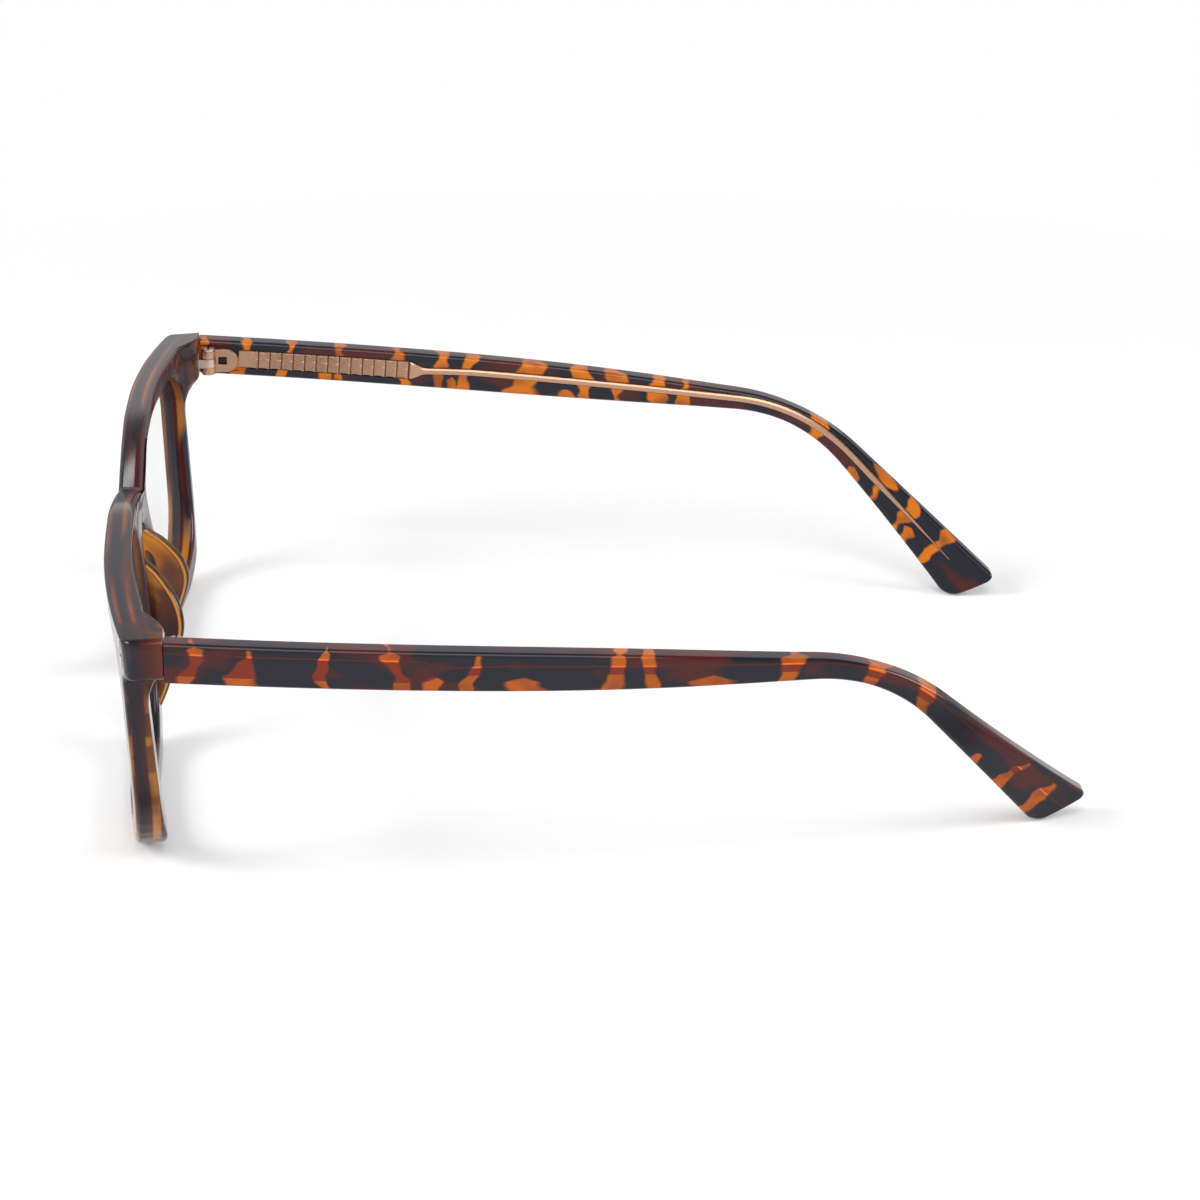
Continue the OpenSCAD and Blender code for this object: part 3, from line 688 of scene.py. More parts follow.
def make_temple():
    """A rounded bar bent to the temple's path, with a channel for the core and a hinge pocket."""

    def place(w, s, v):
        e = TEMPLE_LEN - s
        pinch = drawn_in(END_R, e) + drawn_in(START_R, max(0, s - JOINT_GAP))
        half = half_height(s)
        reach = half - drawn_in(TIP_TOP_R if v > 0 else TIP_LOW_R, e)
        straight = TEMPLE_H / 2 - EDGE_R
        if abs(v) > straight:
            v = math.copysign(reach - (TEMPLE_H / 2 - abs(v)), v)
        else:
            v = v * (reach - EDGE_R) / straight
        v -= math.copysign(min(pinch, abs(v)), v) if abs(v) > half - EDGE_R - PINCH_ZONE else 0
        w = pinch + w * (TEMPLE_T - 2 * pinch) / TEMPLE_T
        lean = math.tan(TIP_CUT) * ease((s - SKEW_START) / (TEMPLE_LEN - SKEW_START))
        lean -= math.tan(DROP) * (1 - ease((s - SQUARE_END) / SQUARE_EASE))
        bulge = TIP_BULGE * ease((s - TEMPLE_LEN + TIP_BULGE_LEN) / TIP_BULGE_LEN)
        return temple_point(w, s + lean * v + bulge * (1 - (v / (TIP_H / 2)) ** 2) - bulge, v)

    blank = drawn_bar("temple_tortoise", (0, -TEMPLE_H / 2), (TEMPLE_T, TEMPLE_H / 2), EDGE_R,
                      temple_stations(), place, rows=6)

    def in_channel(w, s, v):
        return temple_point(w, s, core_rise(s) + v * (core_half(s) + CORE_PLAY))

    cut(blank, drawn_bar("channel", (TEMPLE_T - PLATE_T - CORE_PLAY, -1), (TEMPLE_T + 1, 1), 0,
                         core_stations(), in_channel))
    only()
    bpy.ops.mesh.primitive_cube_add(size=1)
    pocket = bpy.context.object
    bpy.ops.object.mode_set(mode="EDIT")
    bpy.ops.mesh.select_all(action="SELECT")
    low_z, high_z = HINGE_LOW_Z - POCKET_ROOM, HINGE_LOW_Z + HINGE_H + SCREW_HEAD_H + POCKET_ROOM
    out_x = HALF_W - TEMPLE_T + POCKET_DEPTH
    length = POCKET_END + POCKET_OVER
    bpy.ops.transform.resize(value=(POCKET_W * MM, length * MM, (high_z - low_z) * MM))
    bpy.ops.transform.translate(value=((out_x - POCKET_W / 2) * MM,
                                       (JOINT_Y - POCKET_OVER + length / 2) * MM,
                                       (low_z + high_z) / 2 * MM))
    close_mesh()
    cut(blank, pocket)
    return blank


def core_rise(s):
    """How far the core lies above the temple's middle line."""
    return WIRE_RISE * ease((s - SCALE_END) / (4 * TAPER_LEN))


def core_half(s):
    """Half height of the core: plate, taper, wire and point."""
    if s <= SCALE_END:
        return PLATE_H / 2
    if s < SCALE_END + TAPER_LEN:
        return (PLATE_H + (WIRE_H - PLATE_H) * ease((s - SCALE_END) / TAPER_LEN)) / 2
    return WIRE_H / 2 * max(CORE_THINNEST, min(1, (CORE_END - s) / WIRE_POINT))


def core_stations():
    taper = [SCALE_END + TAPER_LEN * i / 8 for i in range(1, 9)]
    wire = [SCALE_END + TAPER_LEN + 4 * i for i in range(1, 14)]
    wire = [s for s in wire if s < STRAIGHT_LEN]
    tail_start = STRAIGHT_LEN + BEND_LEN
    tail = [tail_start + (CORE_END - tail_start) * i / 10 for i in range(1, 11)]
    return [PLATE_START, SCALE_START, SCALE_END] + taper + wire + bend_stations() + tail


def make_core():
    """The embossed plate, its taper and the wire, with a stud on each scale."""
    scales = [SCALE_START - 0.02]
    for i in range(SCALE_COUNT):
        scales += [SCALE_START + SCALE_PITCH * (i + u) for u in (0, 0.2, 0.4, 0.6, SCALE_SLOPE, SCALE_LAND)]
    stations = sorted(set([PLATE_START] + scales + [s for s in core_stations() if s >= SCALE_END]))

    def place(w, s, v):
        on_scales = SCALE_START - SCALE_EDGE <= s < SCALE_END
        u = ((s - SCALE_START) / SCALE_PITCH) % 1 if on_scales else 1
        half = core_half(s)
        if on_scales and u < SCALE_LAND:
            half -= SCALE_SCALLOP * math.sin(math.pi * min(1, u / SCALE_LAND))
        sink = CORE_SINK
        if on_scales and u < SCALE_LAND:
            sink += SCALE_STEP * (1 - min(1, u / SCALE_SLOPE))
        elif s < SCALE_END:
            sink += SCALE_STEP
        slope = CORE_CHAMFER * (PLATE_CHAMFER_SHARE if s <= SCALE_END else 1) * min(1, half / (WIRE_H / 2))
        inner = w > TEMPLE_T - PLATE_T / 2
        if inner and v > 0.9:
            w, v = TEMPLE_T - sink - slope * CHAMFER_INWARD, half
        elif inner and v > 0:
            w, v = TEMPLE_T - sink, half - slope
        elif inner:
            w, v = TEMPLE_T - sink, -half
        else:
            v = math.copysign(half, v)
        return temple_point(w, s, core_rise(s) + v)

    obj = core_blank("core_rose_gold", stations, place)
    for i in range(SCALE_COUNT):
        s = SCALE_START + SCALE_PITCH * (i + SCALE_SLOPE)
        at = temple_point(TEMPLE_T - CORE_SINK - STUD_SINK, s, 0)
        only()
        bpy.ops.mesh.primitive_uv_sphere_add(segments=16, ring_count=8, radius=STUD_R * MM, location=at)
        stud = bpy.context.object
        bpy.ops.object.mode_set(mode="EDIT")
        bpy.ops.mesh.select_all(action="SELECT")
        bpy.ops.transform.resize(value=STUD_STRETCH, center_override=at)
        close_mesh()
        bpy.ops.object.transform_apply(location=True, rotation=True, scale=True)
        only(obj, stud)
        bpy.ops.object.join()
    return obj


def core_blank(name, stations, place):
    """Five-sided section: square at the back, with its upper front edge chamfered."""
    only()
    bpy.ops.mesh.primitive_circle_add(vertices=5, radius=1, fill_type="NGON")
    obj = bpy.context.object
    obj.name = name
    section = [(TEMPLE_T - PLATE_T, -1), (TEMPLE_T, -1), (TEMPLE_T, 0.5), (TEMPLE_T, 1),
               (TEMPLE_T - PLATE_T, 1)]
    for v, (w, up) in zip(obj.data.vertices, section):
        v.co = (w, up, stations[0])
    bpy.ops.object.mode_set(mode="EDIT")
    bpy.ops.mesh.select_all(action="SELECT")
    draw_out(b - a for a, b in zip(stations, stations[1:]))
    return shaped(obj, lambda at: place(at.x, at.z, at.y))


# Materials

class Finish:
    """A material under construction: nodes are added and joined by short calls."""

    def __init__(self, name):
        self.mat = bpy.data.materials.new(name)
        self.mat.use_nodes = True
        self.tree = self.mat.node_tree
        self.shader = self.tree.nodes["Principled BSDF"]

    def node(self, kind, inputs=(), **settings):
        n = self.tree.nodes.new(kind)
        for key, value in settings.items():
            setattr(n, key, value)
        for key, value in dict(inputs).items():
            if isinstance(value, bpy.types.NodeSocket):
                self.tree.links.new(value, n.inputs[key])
            else:
                n.inputs[key].default_value = value
        return n

    def maths(self, operation, a, b=0.0, clamp=False):
        return self.node("ShaderNodeMath", {0: a, 1: b}, operation=operation, use_clamp=clamp).outputs[0]

    def stretched(self, vector, scale, shift=(0, 0, 0)):
        n = self.node("ShaderNodeMapping", {"Vector": vector})
        n.inputs["Scale"].default_value = scale
        n.inputs["Location"].default_value = shift
        return n.outputs[0]

    def place(self):
        return self.node("ShaderNodeTexCoord").outputs["Object"]

    def grain(self):
        """The measure that marked keeps on a piece."""
        return self.node("ShaderNodeAttribute", attribute_name="grain").outputs["Vector"]

    def split(self, vector):
        return self.node("ShaderNodeSeparateXYZ", {0: vector}).outputs

    def noise(self, vector, scale, detail):
        return self.node("ShaderNodeTexNoise", {"Vector": vector, "Scale": scale, "Detail": detail,
                                                "Roughness": 0.5}).outputs["Fac"]

    def clouds(self, vector, scale, shift=(0, 0, 0), detail=1.0):
        """Noise with its own scale along each axis."""
        return self.noise(self.stretched(vector, scale, shift), 1.0, detail)

    def drift(self, clouds, reach):
        """Noise moved to both sides of 0, reach wide in all."""
        return self.maths("MULTIPLY", self.maths("SUBTRACT", clouds, 0.5), reach)

    def ramp(self, value, stops):
        n = self.node("ShaderNodeValToRGB", {"Fac": value})
        while len(n.color_ramp.elements) < len(stops):
            n.color_ramp.elements.new(0.5)
        for e, (at, colour) in zip(n.color_ramp.elements, stops):
            e.position = at
            e.color = (*colour, 1)
        return n.outputs["Color"]

    def fade(self, value, *stops):
        """A ramp of plain levels."""
        return self.ramp(value, [(at, (level,) * 3) for at, level in stops])

    def mix(self, share, a, b):
        n = self.node("ShaderNodeMix", data_type="RGBA")
        for key, value in ((0, share), (6, a), (7, b)):
            if isinstance(value, bpy.types.NodeSocket):
                self.tree.links.new(value, n.inputs[key])
            elif key == 0:
                n.inputs[key].default_value = value
            else:
                n.inputs[key].default_value = (*value, 1)
        return n.outputs[2]

    def finish(self, **sockets):
        for key, value in sockets.items():
            key = key.replace("_", " ")
            if isinstance(value, bpy.types.NodeSocket):
                self.tree.links.new(value, self.shader.inputs[key])
            else:
                self.shader.inputs[key].default_value = value
        return self.mat

    def blended(self, share, other):
        """Puts a share of another shader over the plain one."""
        both = self.node("ShaderNodeMixShader", {0: share})
        self.tree.links.new(self.shader.outputs[0], both.inputs[1])
        self.tree.links.new(other.outputs[0], both.inputs[2])
        self.tree.links.new(both.outputs[0], self.tree.nodes["Material Output"].inputs["Surface"])


# Colours, as linear shares of red, green and blue
CHARCOAL = (0.0095, 0.0095, 0.0160)
MAROON = (0.0585, 0.0091, 0.0078)
RUST = (0.1495, 0.0312, 0.0078)
END_RUST = (0.1100, 0.0260, 0.0080)
BROWN = (0.2340, 0.0715, 0.0156)
AMBER_DEEP = (0.4030, 0.0806, 0.0013)
AMBER = (0.5200, 0.1326, 0.0013)
HONEY = (0.3900, 0.1456, 0.0208)
# Painted shade of the core seen through the acetate, and the painted glint along the core's upper edge
CORE_SHADE_RED = (0.1550, 0.0110, 0.0026)
CORE_GLINT_BRIGHT = (0.9000, 0.1300, 0.0065)
CORE_GLINT_DULL = (0.0780, 0.0078, 0.0052)
PAD_DARK = (0.0208, 0.0078, 0.0052)
PAD_LINE = (0.5460, 0.2210, 0.0260)
GOLD_LOW = (0.4900, 0.2900, 0.1900)
GOLD_HIGH = (0.5600, 0.3400, 0.2300)
# Painted shade in the step at the end of each scale of the core
GOLD_STEP_SHADE = (0.1000, 0.0450, 0.0280)
NICKEL_LOW = (0.5200, 0.4200, 0.3400)
NICKEL_HIGH = (0.6600, 0.5500, 0.4600)
LENS_TINT = (0.9850, 0.9900, 0.9900, 1)
# Floor colour that mirrored rays see behind the glasses and next to the near foot: painted shade
FLOOR_SHADE_BEHIND = (0.2400, 0.2400, 0.2600)
WHITE = (1, 1, 1)

# Polish, and the lengths in millimetres over which the patterns run
SHEEN = 0.3
ACETATE_IOR = 1.49
LENS_CLEARNESS = 0.94
CROWN_LOW = 2.5
CROWN_FADE = 0.4
LOW_BAR_TOP = 1.3
LOW_BAR_FADE = 0.7
OUTER_SKIN = 0.8
# Half width of the painted glint along the core's upper edge
GLINT_HALF_W = 0.13
LAYERS_DEPTH = 8.0
ENDS_DEPTH_SHARE = 1.3
LAYERS_HEIGHT = 45.0
LAYERS_HALF_W = 70.0
PAD_TONES_HEIGHT = 30.0
PAD_RIM_DEPTH = 4.0


def bars(f, along_s, marks):
    """1 at the middle of each amber bar, falling to 0 at the bar's reach to either side."""
    stops = [(0, 0)]
    for at, reach in marks:
        stops += [((at - reach) / TEMPLE_LEN, 0), (at / TEMPLE_LEN, 1), ((at + reach) / TEMPLE_LEN, 0)]
    return f.fade(f.maths("DIVIDE", along_s, TEMPLE_LEN), *stops)


def temple_acetate(name, marks, low_marks, flip, top_shade):
    """Dark patches with amber bars between them, each bar at its own place along the temple.

    Low bars stay under the middle line. Over the core the bars are dark red, painted shade of the core
    through the acetate, and a painted glint along the core's upper edge shows as a thin line. The last
    argument holds the bars back on the top face, as painted shade.
    """
    f = Finish(name)
    grain = f.grain()
    s, v, w = f.split(grain)
    lean = f.maths("SUBTRACT", f.clouds(grain, (0.05, 0.0, 0.0), flip), 0.5)
    at = f.maths("ADD", s, f.drift(f.clouds(grain, (0.07, 0.22, 0.20), flip, 2.0), 4.0))
    at = f.maths("ADD", at, f.maths("MULTIPLY", f.maths("MULTIPLY", lean, v), 2.4))
    peak = f.maths("MAXIMUM", bars(f, at, marks[::2]), bars(f, at, marks[1::2]))
    drop = f.maths("MULTIPLY", f.maths("ADD", v, LOW_BAR_TOP), LOW_BAR_FADE, clamp=True)
    peak = f.maths("MAXIMUM", peak, f.maths("SUBTRACT", bars(f, at, low_marks), drop))
    gap = f.maths("ADD", peak, f.drift(f.clouds(grain, (0.11, 0.26, 0.26), (flip[0] + 9, 4, 2)), 1.5))
    # Painted shade: the bars are held back on the top face, by the share the last argument gives
    crown = f.maths("MULTIPLY", f.maths("SUBTRACT", v, CROWN_LOW), 1 / CROWN_FADE, clamp=True)
    gap = f.maths("SUBTRACT", gap, f.maths("MULTIPLY", crown, top_shade))
    clouds = f.clouds(grain, (0.10, 0.22, 0.2), (7 + flip[0], 3, 1))
    dark = f.mix(f.fade(clouds, (0.50, 0), (0.62, 1)), CHARCOAL, MAROON)
    depth = f.ramp(f.maths("DIVIDE", w, TEMPLE_T), [(0.0, AMBER_DEEP), (1.0, AMBER)])
    warm = f.clouds(grain, (0.2, 0.3, 0.5))
    glow = f.mix(f.fade(warm, (0.45, 0), (0.70, 0.7)), depth, RUST)
    tint = f.fade(gap, (0.49, 0), (0.56, 0.35), (0.65, 1))
    share = f.maths("DIVIDE", s, TEMPLE_LEN)
    rise = f.fade(share, (SCALE_END / TEMPLE_LEN, 0), ((SCALE_END + 4 * TAPER_LEN) / TEMPLE_LEN, WIRE_RISE))
    half = f.fade(share, (SCALE_END / TEMPLE_LEN, PLATE_H / 2),
                  ((SCALE_END + TAPER_LEN) / TEMPLE_LEN, WIRE_H / 2), (0.93, WIRE_H / 2), (0.96, 0))
    off = f.maths("SUBTRACT", f.maths("SUBTRACT", v, rise), half)
    low = f.maths("ADD", f.maths("SUBTRACT", v, rise), half)
    inside = f.maths("MULTIPLY", f.maths("LESS_THAN", off, 0.0), f.maths("GREATER_THAN", low, 0.0))
    outer = f.maths("LESS_THAN", w, OUTER_SKIN)
    # Painted shade: the bars turn dark red in the outer skin over the core
    red = f.mix(f.maths("MULTIPLY", f.maths("MULTIPLY", inside, outer), 0.9), glow, CORE_SHADE_RED)
    body = f.mix(tint, dark, red)
    # Painted glint: a thin bright line along the core's upper edge in the outer skin
    line = f.maths("MULTIPLY", f.maths("LESS_THAN", f.maths("ABSOLUTE", off), GLINT_HALF_W), outer)
    glint_colour = f.mix(tint, CORE_GLINT_DULL, CORE_GLINT_BRIGHT)
    body = f.mix(f.maths("MULTIPLY", line, 0.8), body, glint_colour)
    return f.finish(Base_Color=body, Roughness=0.10, IOR=ACETATE_IOR, Specular_IOR_Level=SHEEN)


def front_measure(f):
    """The measure of leaned, worked out by the material for every point of the front."""
    x, y, z = (f.maths("DIVIDE", axis, MM) for axis in f.split(f.place()))
    y = f.maths("SUBTRACT", y, JOINT_Y + FRONT_Y0)
    z = f.maths("ADD", z, FOOT_FLAT)
    c, s = math.cos(FRONT_TILT), math.sin(FRONT_TILT)
    wrap = f.maths("MAXIMUM", f.maths("SUBTRACT", f.maths("ABSOLUTE", x), WRAP_START), 0.0)
    wrap = f.maths("DIVIDE", f.maths("MULTIPLY", wrap, wrap), 2 * WRAP_R)
    bend = f.maths("ADD", f.maths("DIVIDE", f.maths("MULTIPLY", x, x), 2 * FRONT_R), wrap)
    back = f.maths("ADD", f.maths("MULTIPLY", y, c), f.maths("MULTIPLY", z, s))
    up = f.maths("SUBTRACT", f.maths("MULTIPLY", z, c), f.maths("MULTIPLY", y, s))
    return f.node("ShaderNodeCombineXYZ", {0: x, 1: f.maths("SUBTRACT", back, bend), 2: up}).outputs[0]


def front_acetate():
    """Layers through the thickness, drawn out along the front, with plainer end pieces."""
    f = Finish("front_acetate")
    grain = front_measure(f)
    across, behind, high = f.split(grain)
    push = f.clouds(grain, (0.03, 0.05, 0.03))
    depth = f.maths("DIVIDE", f.maths("ADD", behind, f.drift(push, 1.6)), LAYERS_DEPTH)
    sides = f.ramp(depth, [(0.00, CHARCOAL), (0.02, HONEY), (0.07, HONEY), (0.11, CHARCOAL),
                           (0.22, CHARCOAL), (0.26, MAROON), (0.32, MAROON), (0.36, HONEY),
                           (0.47, HONEY), (0.50, MAROON), (0.64, MAROON), (0.72, RUST),
                           (0.82, MAROON), (0.90, BROWN), (1.0, BROWN)])
    brow = f.ramp(depth, [(0.00, CHARCOAL), (0.04, CHARCOAL), (0.07, RUST), (0.11, RUST),
                          (0.15, CHARCOAL), (0.24, CHARCOAL), (0.30, MAROON), (0.35, BROWN),
                          (0.39, RUST), (0.44, CHARCOAL), (0.52, MAROON), (0.58, RUST), (0.63, MAROON),
                          (0.70, RUST), (0.80, MAROON), (0.90, BROWN), (1.0, BROWN)])
    height = f.maths("ADD", f.maths("DIVIDE", high, LAYERS_HEIGHT), f.drift(push, 0.3))
    layers = f.mix(f.fade(height, (0.70, 0), (0.80, 1)), sides, brow)
    outward = f.maths("DIVIDE", f.maths("ABSOLUTE", across), LAYERS_HALF_W)
    layers = f.mix(f.fade(outward, (0.50, 0), (0.68, 1)), brow, layers)
    patches = f.clouds(grain, (0.05, 0.12, 0.06), (3, 1, 5))
    fine = f.clouds(grain, (0.04, 0.9, 0.04))
    dark = f.mix(f.fade(fine, (0.45, 0), (0.65, 1)), CHARCOAL, MAROON)
    body = f.mix(f.fade(patches, (0.42, 0), (0.62, 1)), dark, layers)
    ends = f.ramp(f.maths("DIVIDE", depth, ENDS_DEPTH_SHARE),
                  [(0.1, CHARCOAL), (0.35, MAROON), (0.6, END_RUST), (0.9, BROWN)])
    veins = f.clouds(grain, (0.25, 0.25, 0.25), (1, 7, 2), 2.0)
    share = f.maths("MULTIPLY", f.fade(outward, (0.84, 0), (0.92, 1)), f.fade(veins, (0.42, 0), (0.52, 1)))
    body = f.mix(share, body, ends)
    return f.finish(Base_Color=body, Roughness=0.12, IOR=ACETATE_IOR, Specular_IOR_Level=SHEEN)


def pad_acetate(name, tones):
    """Tones by height, with a dark crest and an amber line inside it."""
    f = Finish(name)
    grain = f.grain()
    below, high = f.split(grain)[1:]
    push = f.clouds(grain, (0.3, 0.25, 0.14))
    height = f.maths("ADD", f.maths("DIVIDE", high, PAD_TONES_HEIGHT), f.drift(push, 0.4))
    body = f.ramp(height, tones)
    inward = f.maths("DIVIDE", below, PAD_RIM_DEPTH)
    rim = f.ramp(inward, [(0.0, PAD_DARK), (0.10, PAD_DARK), (0.13, PAD_LINE), (0.19, PAD_LINE),
                          (0.24, PAD_DARK)])
    near_rim = f.fade(inward, (0.22, 0.85), (0.30, 0))
    return f.finish(Base_Color=f.mix(near_rim, body, rim), Roughness=0.12, IOR=ACETATE_IOR,
                    Specular_IOR_Level=SHEEN)


def rose_gold():
    """Satin plate, with painted shade in the step at the end of each scale of the core."""
    f = Finish("rose_gold")
    grit = f.noise(f.place(), 6000.0, 2.0)
    body = f.ramp(grit, [(0.35, GOLD_LOW), (0.65, GOLD_HIGH)])
    s = f.split(f.grain())[0]
    turn = f.maths("FRACT", f.maths("DIVIDE", f.maths("SUBTRACT", s, SCALE_START), SCALE_PITCH))
    # Painted shade: a dark line in the step at the end of each scale
    step_shade = f.fade(turn, (0.86, 0), (0.91, 1), (0.98, 1), (1.0, 0))
    on = f.maths("MULTIPLY", f.maths("GREATER_THAN", s, SCALE_START), f.maths("LESS_THAN", s, SCALE_END))
    body = f.mix(f.maths("MULTIPLY", f.maths("MULTIPLY", step_shade, on), 0.85), body, GOLD_STEP_SHADE)
    return f.finish(Base_Color=body, Metallic=1.0, Roughness=f.fade(grit, (0.3, 0.26), (0.7, 0.40)))


def nickel():
    f = Finish("nickel_silver")
    brushed = f.clouds(f.place(), (900, 900, 14000), detail=2.0)
    body = f.ramp(brushed, [(0.3, NICKEL_LOW), (0.7, NICKEL_HIGH)])
    return f.finish(Base_Color=body, Metallic=1.0, Roughness=0.28)


def clear_lens():
    """Mostly see-through, with a little true glass for its shine."""
    f = Finish("clear_lens")
    haze = f.noise(f.place(), 400.0, 2.0)
    f.finish(Base_Color=(0.99, 1.0, 1.0, 1), Roughness=f.fade(haze, (0.3, 0.0), (0.7, 0.012)), IOR=1.5,
             Transmission_Weight=1.0)
    clear = f.node("ShaderNodeBsdfTransparent", {"Color": LENS_TINT})
    f.blended(LENS_CLEARNESS, clear)
    return f.mat


# Assembly

# Middle and reach of each amber bar, in millimetres along the temple
NEAR_BARS = [(4.0, 2.4), (11.3, 3.0), (22.6, 1.2), (32.3, 2.4), (43.5, 2.2), (63.7, 2.6), (68.7, 2.4),
             (89.0, 3.0), (102.1, 2.6), (111.0, 3.6), (132.1, 2.0), (139.0, 2.4)]
NEAR_LOW_BARS = [(11.0, 4.0), (38.1, 3.6), (51.5, 6.0), (78.5, 7.0), (125.8, 3.0)]
FAR_BARS = [(0.8, 1.2), (7.3, 2.4), (14.9, 2.0), (24.3, 1.6), (34.9, 2.8), (41.4, 2.2), (46.1, 2.2),
            (56.6, 4.4), (66.2, 2.6), (71.8, 2.6), (79.5, 3.2), (84.1, 2.0), (107.6, 2.8), (122.0, 3.6),
            (128.2, 2.4), (135.5, 2.2)]
FAR_LOW_BARS = [(22.0, 2.4), (44.0, 2.0), (63.0, 2.6), (117.0, 3.0), (130.5, 3.0)]
# The last argument is the share of painted shade on the top face, used on the near temple only
temple_looks = {"left": temple_acetate("temple_acetate_left", NEAR_BARS, NEAR_LOW_BARS, (0, 0, 0), 0.5),
                "right": temple_acetate("temple_acetate_right", FAR_BARS, FAR_LOW_BARS, (23, 9, 5), 0.0)}
front_look = front_acetate()
NEAR_PAD_TONES = [(0.25, (0.300, 0.110, 0.016)), (0.45, (0.023, 0.005, 0.004)),
                  (0.62, (0.039, 0.009, 0.005)), (0.78, (0.104, 0.029, 0.008)),
                  (0.86, (0.390, 0.143, 0.026))]
FAR_PAD_TONES = [(0.25, (0.033, 0.009, 0.005)), (0.45, (0.065, 0.017, 0.007)),
                 (0.62, (0.130, 0.036, 0.009)), (0.76, (0.364, 0.117, 0.010)),
                 (0.86, (0.520, 0.195, 0.013))]
pad_looks = {"left": pad_acetate("pad_acetate_left", NEAR_PAD_TONES),
             "right": pad_acetate("pad_acetate_right", FAR_PAD_TONES)}
gold_look = rose_gold()
steel_look = nickel()
lens_look = clear_lens()

fit(make_front(), "front_frame", "front", front_look)

temple = make_temple()
temple_right = mirrored(temple, "temple_tortoise_right")
temple.name = "temple_tortoise_left"
for piece, side in ((temple, "left"), (temple_right, "right")):
    smooth(piece)
    marked(piece, unbent)
    fit(piece, f"temple_{side}", f"{side}_temple", temple_looks[side])

core = make_core()
core_right = mirrored(core, "core_rose_gold_right")
core.name = "core_rose_gold_left"
for piece, side in ((core, "left"), (core_right, "right")):
    smooth(piece, 25)
    marked(piece, unbent)
    fit(piece, f"core_wire_{side}", f"{side}_temple", gold_look)

pad = make_pad()
pad_right = mirrored(pad, "nose_pad_amber_right")
pad.name = "nose_pad_amber_left"
for piece, side in ((pad, "left"), (pad_right, "right")):
    smooth(piece, 40)
    marked(piece, from_crest)
    fit(piece, f"nose_pad_{side}", "front", pad_looks[side])

for side in SIDES:
    lens = solid_copy(f"lens_{side}", f"lens_clear_{side}")
    smooth(lens, 25)
    fit(lens, f"lens_{side}", "front", lens_look)
    leaf = solid_copy(f"temple_hinge_{side}", f"temple_leaf_{side}")
    eased(leaf, 0.1)
    smooth(leaf)
    fit(leaf, f"temple_hinge_{side}", f"{side}_temple", gold_look)
    for node, name in ((f"front_hinge_{side}", f"front_leaf_{side}"),
                       (f"hinge_screw_{side}", f"hinge_screw_eased_{side}"),
                       (f"rivet_upper_{side}", f"rivet_upper_eased_{side}"),
                       (f"rivet_lower_{side}", f"rivet_lower_eased_{side}")):
        piece = solid_copy(node, name)
        eased(piece, 0.06)
        smooth(piece)
        fit(piece, node, "front", steel_look)


# Floor, light and camera

SKY_LEVELS = ((0.50, 1.0), (0.58, 0.7), (0.68, 0.25), (1.0, 0.35))
SKY_STRENGTH = 0.85
DIFFUSE_LESS = -0.15
SOFT_BOXES = (("soft_box_back", (-0.527, -0.184, 0.634), (0.12, 0.05), 0.16),
              ("soft_box_over", (0.38, 0.05, 0.62), (0.45, 0.45), 2.4),
              ("soft_box_left", (0.15, -0.80, 0.50), (0.45, 0.45), 6.8),
              ("soft_box_right", (0.15, 0.95, 0.50), (0.45, 0.45), 6.0))
CAMERA_AT = (551.4, 28.7, 245.0)
CAMERA_ANGLES = (22.36, 3.84, 0.83)
SENSOR_W = 36
FOCAL_SHARE = 3735 / 1200


def make_floor():
    """White where it is seen or mirrored, but with the shadows near the glasses kept.

    Mirrored rays find it darker behind the glasses and next to the near foot: painted shade, seen only in
    reflections.
    """
    only()
    bpy.ops.mesh.primitive_plane_add(size=12, location=(0, 0, -0.0001))
    floor = bpy.context.object
    floor.name = "floor"
    f = Finish("floor_white")
    at = f.place()
    grit = f.noise(at, 40.0, 2.0)
    f.finish(Base_Color=f.fade(grit, (0, 0.86), (1, 0.88)), Roughness=0.9, Specular_IOR_Level=0.0)
    path = f.node("ShaderNodeLightPath")
    glossy = path.outputs["Is Glossy Ray"]
    along_x = f.split(at)[0]
    # Painted shade for mirrored rays only: darker behind the glasses, and a painted contact shadow next to
    # the near foot
    behind = f.fade(f.maths("MULTIPLY", along_x, -1.0), (0.03, 0), (0.13, 1))
    foot = f.fade(along_x, (0.064, 0), (0.067, 0.8), (0.074, 0.8), (0.084, 0))
    painted_shade = f.maths("MULTIPLY", glossy, f.maths("MAXIMUM", behind, foot))
    white = f.node("ShaderNodeEmission", {"Color": f.mix(painted_shade, WHITE, FLOOR_SHADE_BEHIND), "Strength": 1.0})
    away = f.node("ShaderNodeVectorMath", {0: at}, operation="LENGTH").outputs["Value"]
    share = f.fade(away, (0.12, 0.15), (0.30, 1))
    seen = f.maths("MAXIMUM", path.outputs["Is Camera Ray"], glossy)
    seen = f.maths("MULTIPLY", f.maths("MAXIMUM", seen, path.outputs["Is Transmission Ray"]), share)
    f.blended(f.maths("MAXIMUM", seen, f.maths("MULTIPLY", painted_shade, 0.9)), white)
    floor.data.materials.append(f.mat)


def soft_box(name, at, size, power):
    """An area light that faces the glasses."""
    light = bpy.data.lights.new(name, "AREA")
    light.shape = "RECTANGLE"
    light.size, light.size_y = size
    light.energy = power
    obj = bpy.data.objects.new(name, light)
    bpy.context.scene.collection.objects.link(obj)
    obj.location = at
    obj.rotation_euler = (-Vector(at)).to_track_quat("-Z", "Y").to_euler()


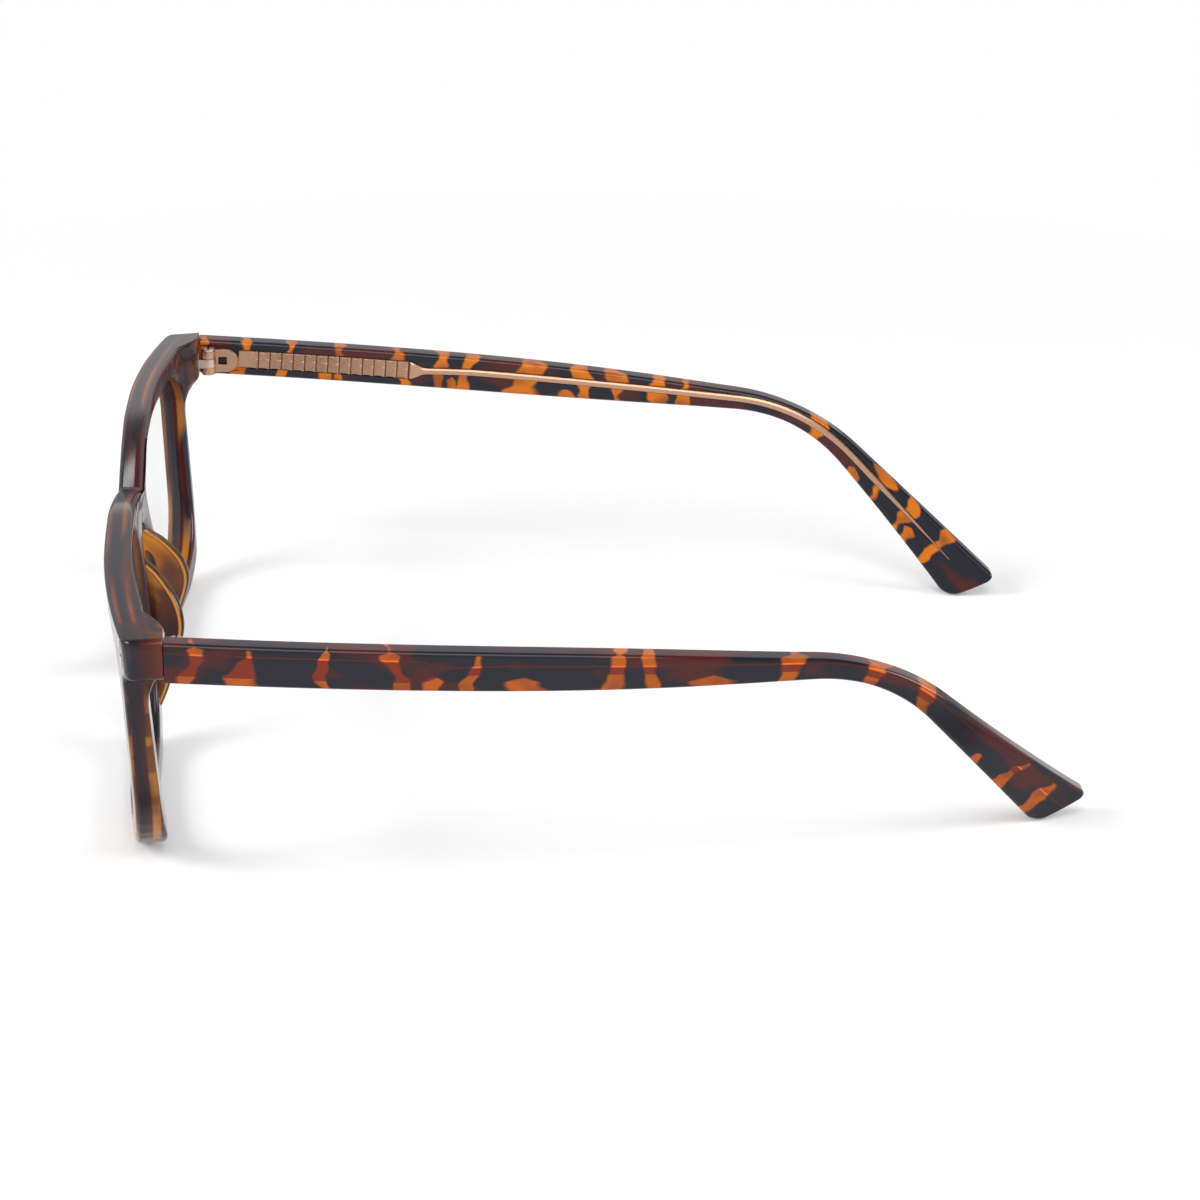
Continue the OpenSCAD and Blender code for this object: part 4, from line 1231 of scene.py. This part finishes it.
def make_world():
    """White to the camera; to other rays bright at the horizon and dimmer overhead."""
    world = bpy.data.worlds.new("studio")
    bpy.context.scene.world = world
    world.use_nodes = True
    nodes, links = world.node_tree.nodes, world.node_tree.links
    back = nodes["Background"]
    direction = nodes.new("ShaderNodeTexCoord")
    split = nodes.new("ShaderNodeSeparateXYZ")
    links.new(direction.outputs["Generated"], split.inputs[0])
    ramp = nodes.new("ShaderNodeValToRGB")
    ramp.color_ramp.elements.new(0.5)
    ramp.color_ramp.elements.new(0.7)
    for e, (at, level) in zip(ramp.color_ramp.elements, SKY_LEVELS):
        e.position = at
        e.color = (level, level, level, 1)
    links.new(split.outputs["Z"], ramp.inputs["Fac"])
    links.new(ramp.outputs["Color"], back.inputs["Color"])
    path = nodes.new("ShaderNodeLightPath")
    strength = nodes.new("ShaderNodeMath")
    strength.operation = "MULTIPLY_ADD"
    links.new(path.outputs["Is Diffuse Ray"], strength.inputs[0])
    strength.inputs[1].default_value = DIFFUSE_LESS
    strength.inputs[2].default_value = SKY_STRENGTH
    links.new(strength.outputs[0], back.inputs["Strength"])
    white = nodes.new("ShaderNodeBackground")
    white.inputs["Color"].default_value = (*WHITE, 1)
    seen = nodes.new("ShaderNodeMixShader")
    links.new(path.outputs["Is Camera Ray"], seen.inputs[0])
    links.new(back.outputs[0], seen.inputs[1])
    links.new(white.outputs[0], seen.inputs[2])
    links.new(seen.outputs[0], nodes["World Output"].inputs["Surface"])


def make_camera():
    """The photograph's own view, solved from the outline of the temples."""
    elevation, swing, roll = (math.radians(a) for a in CAMERA_ANGLES)
    forward = Vector((-math.cos(elevation) * math.cos(swing), math.cos(elevation) * math.sin(swing),
                      -math.sin(elevation)))
    right = Vector((math.sin(swing), math.cos(swing), 0))
    up = right.cross(forward)
    tilted = math.cos(roll) * right + math.sin(roll) * up
    up = math.cos(roll) * up - math.sin(roll) * right
    camera = bpy.data.cameras.new("camera")
    camera.sensor_width = SENSOR_W
    camera.lens = FOCAL_SHARE * SENSOR_W
    camera.clip_start = 0.01
    obj = bpy.data.objects.new("camera", camera)
    bpy.context.scene.collection.objects.link(obj)
    x, y, z = CAMERA_AT
    facing = Matrix((tilted, up, -forward)).transposed().to_4x4()
    obj.matrix_world = Matrix.Translation(Vector((x, y + JOINT_Y, z)) * MM) @ facing
    bpy.context.scene.camera = obj


make_floor()
make_world()
for box in SOFT_BOXES:
    soft_box(*box)
make_camera()
bpy.context.scene.view_settings.view_transform = "Standard"
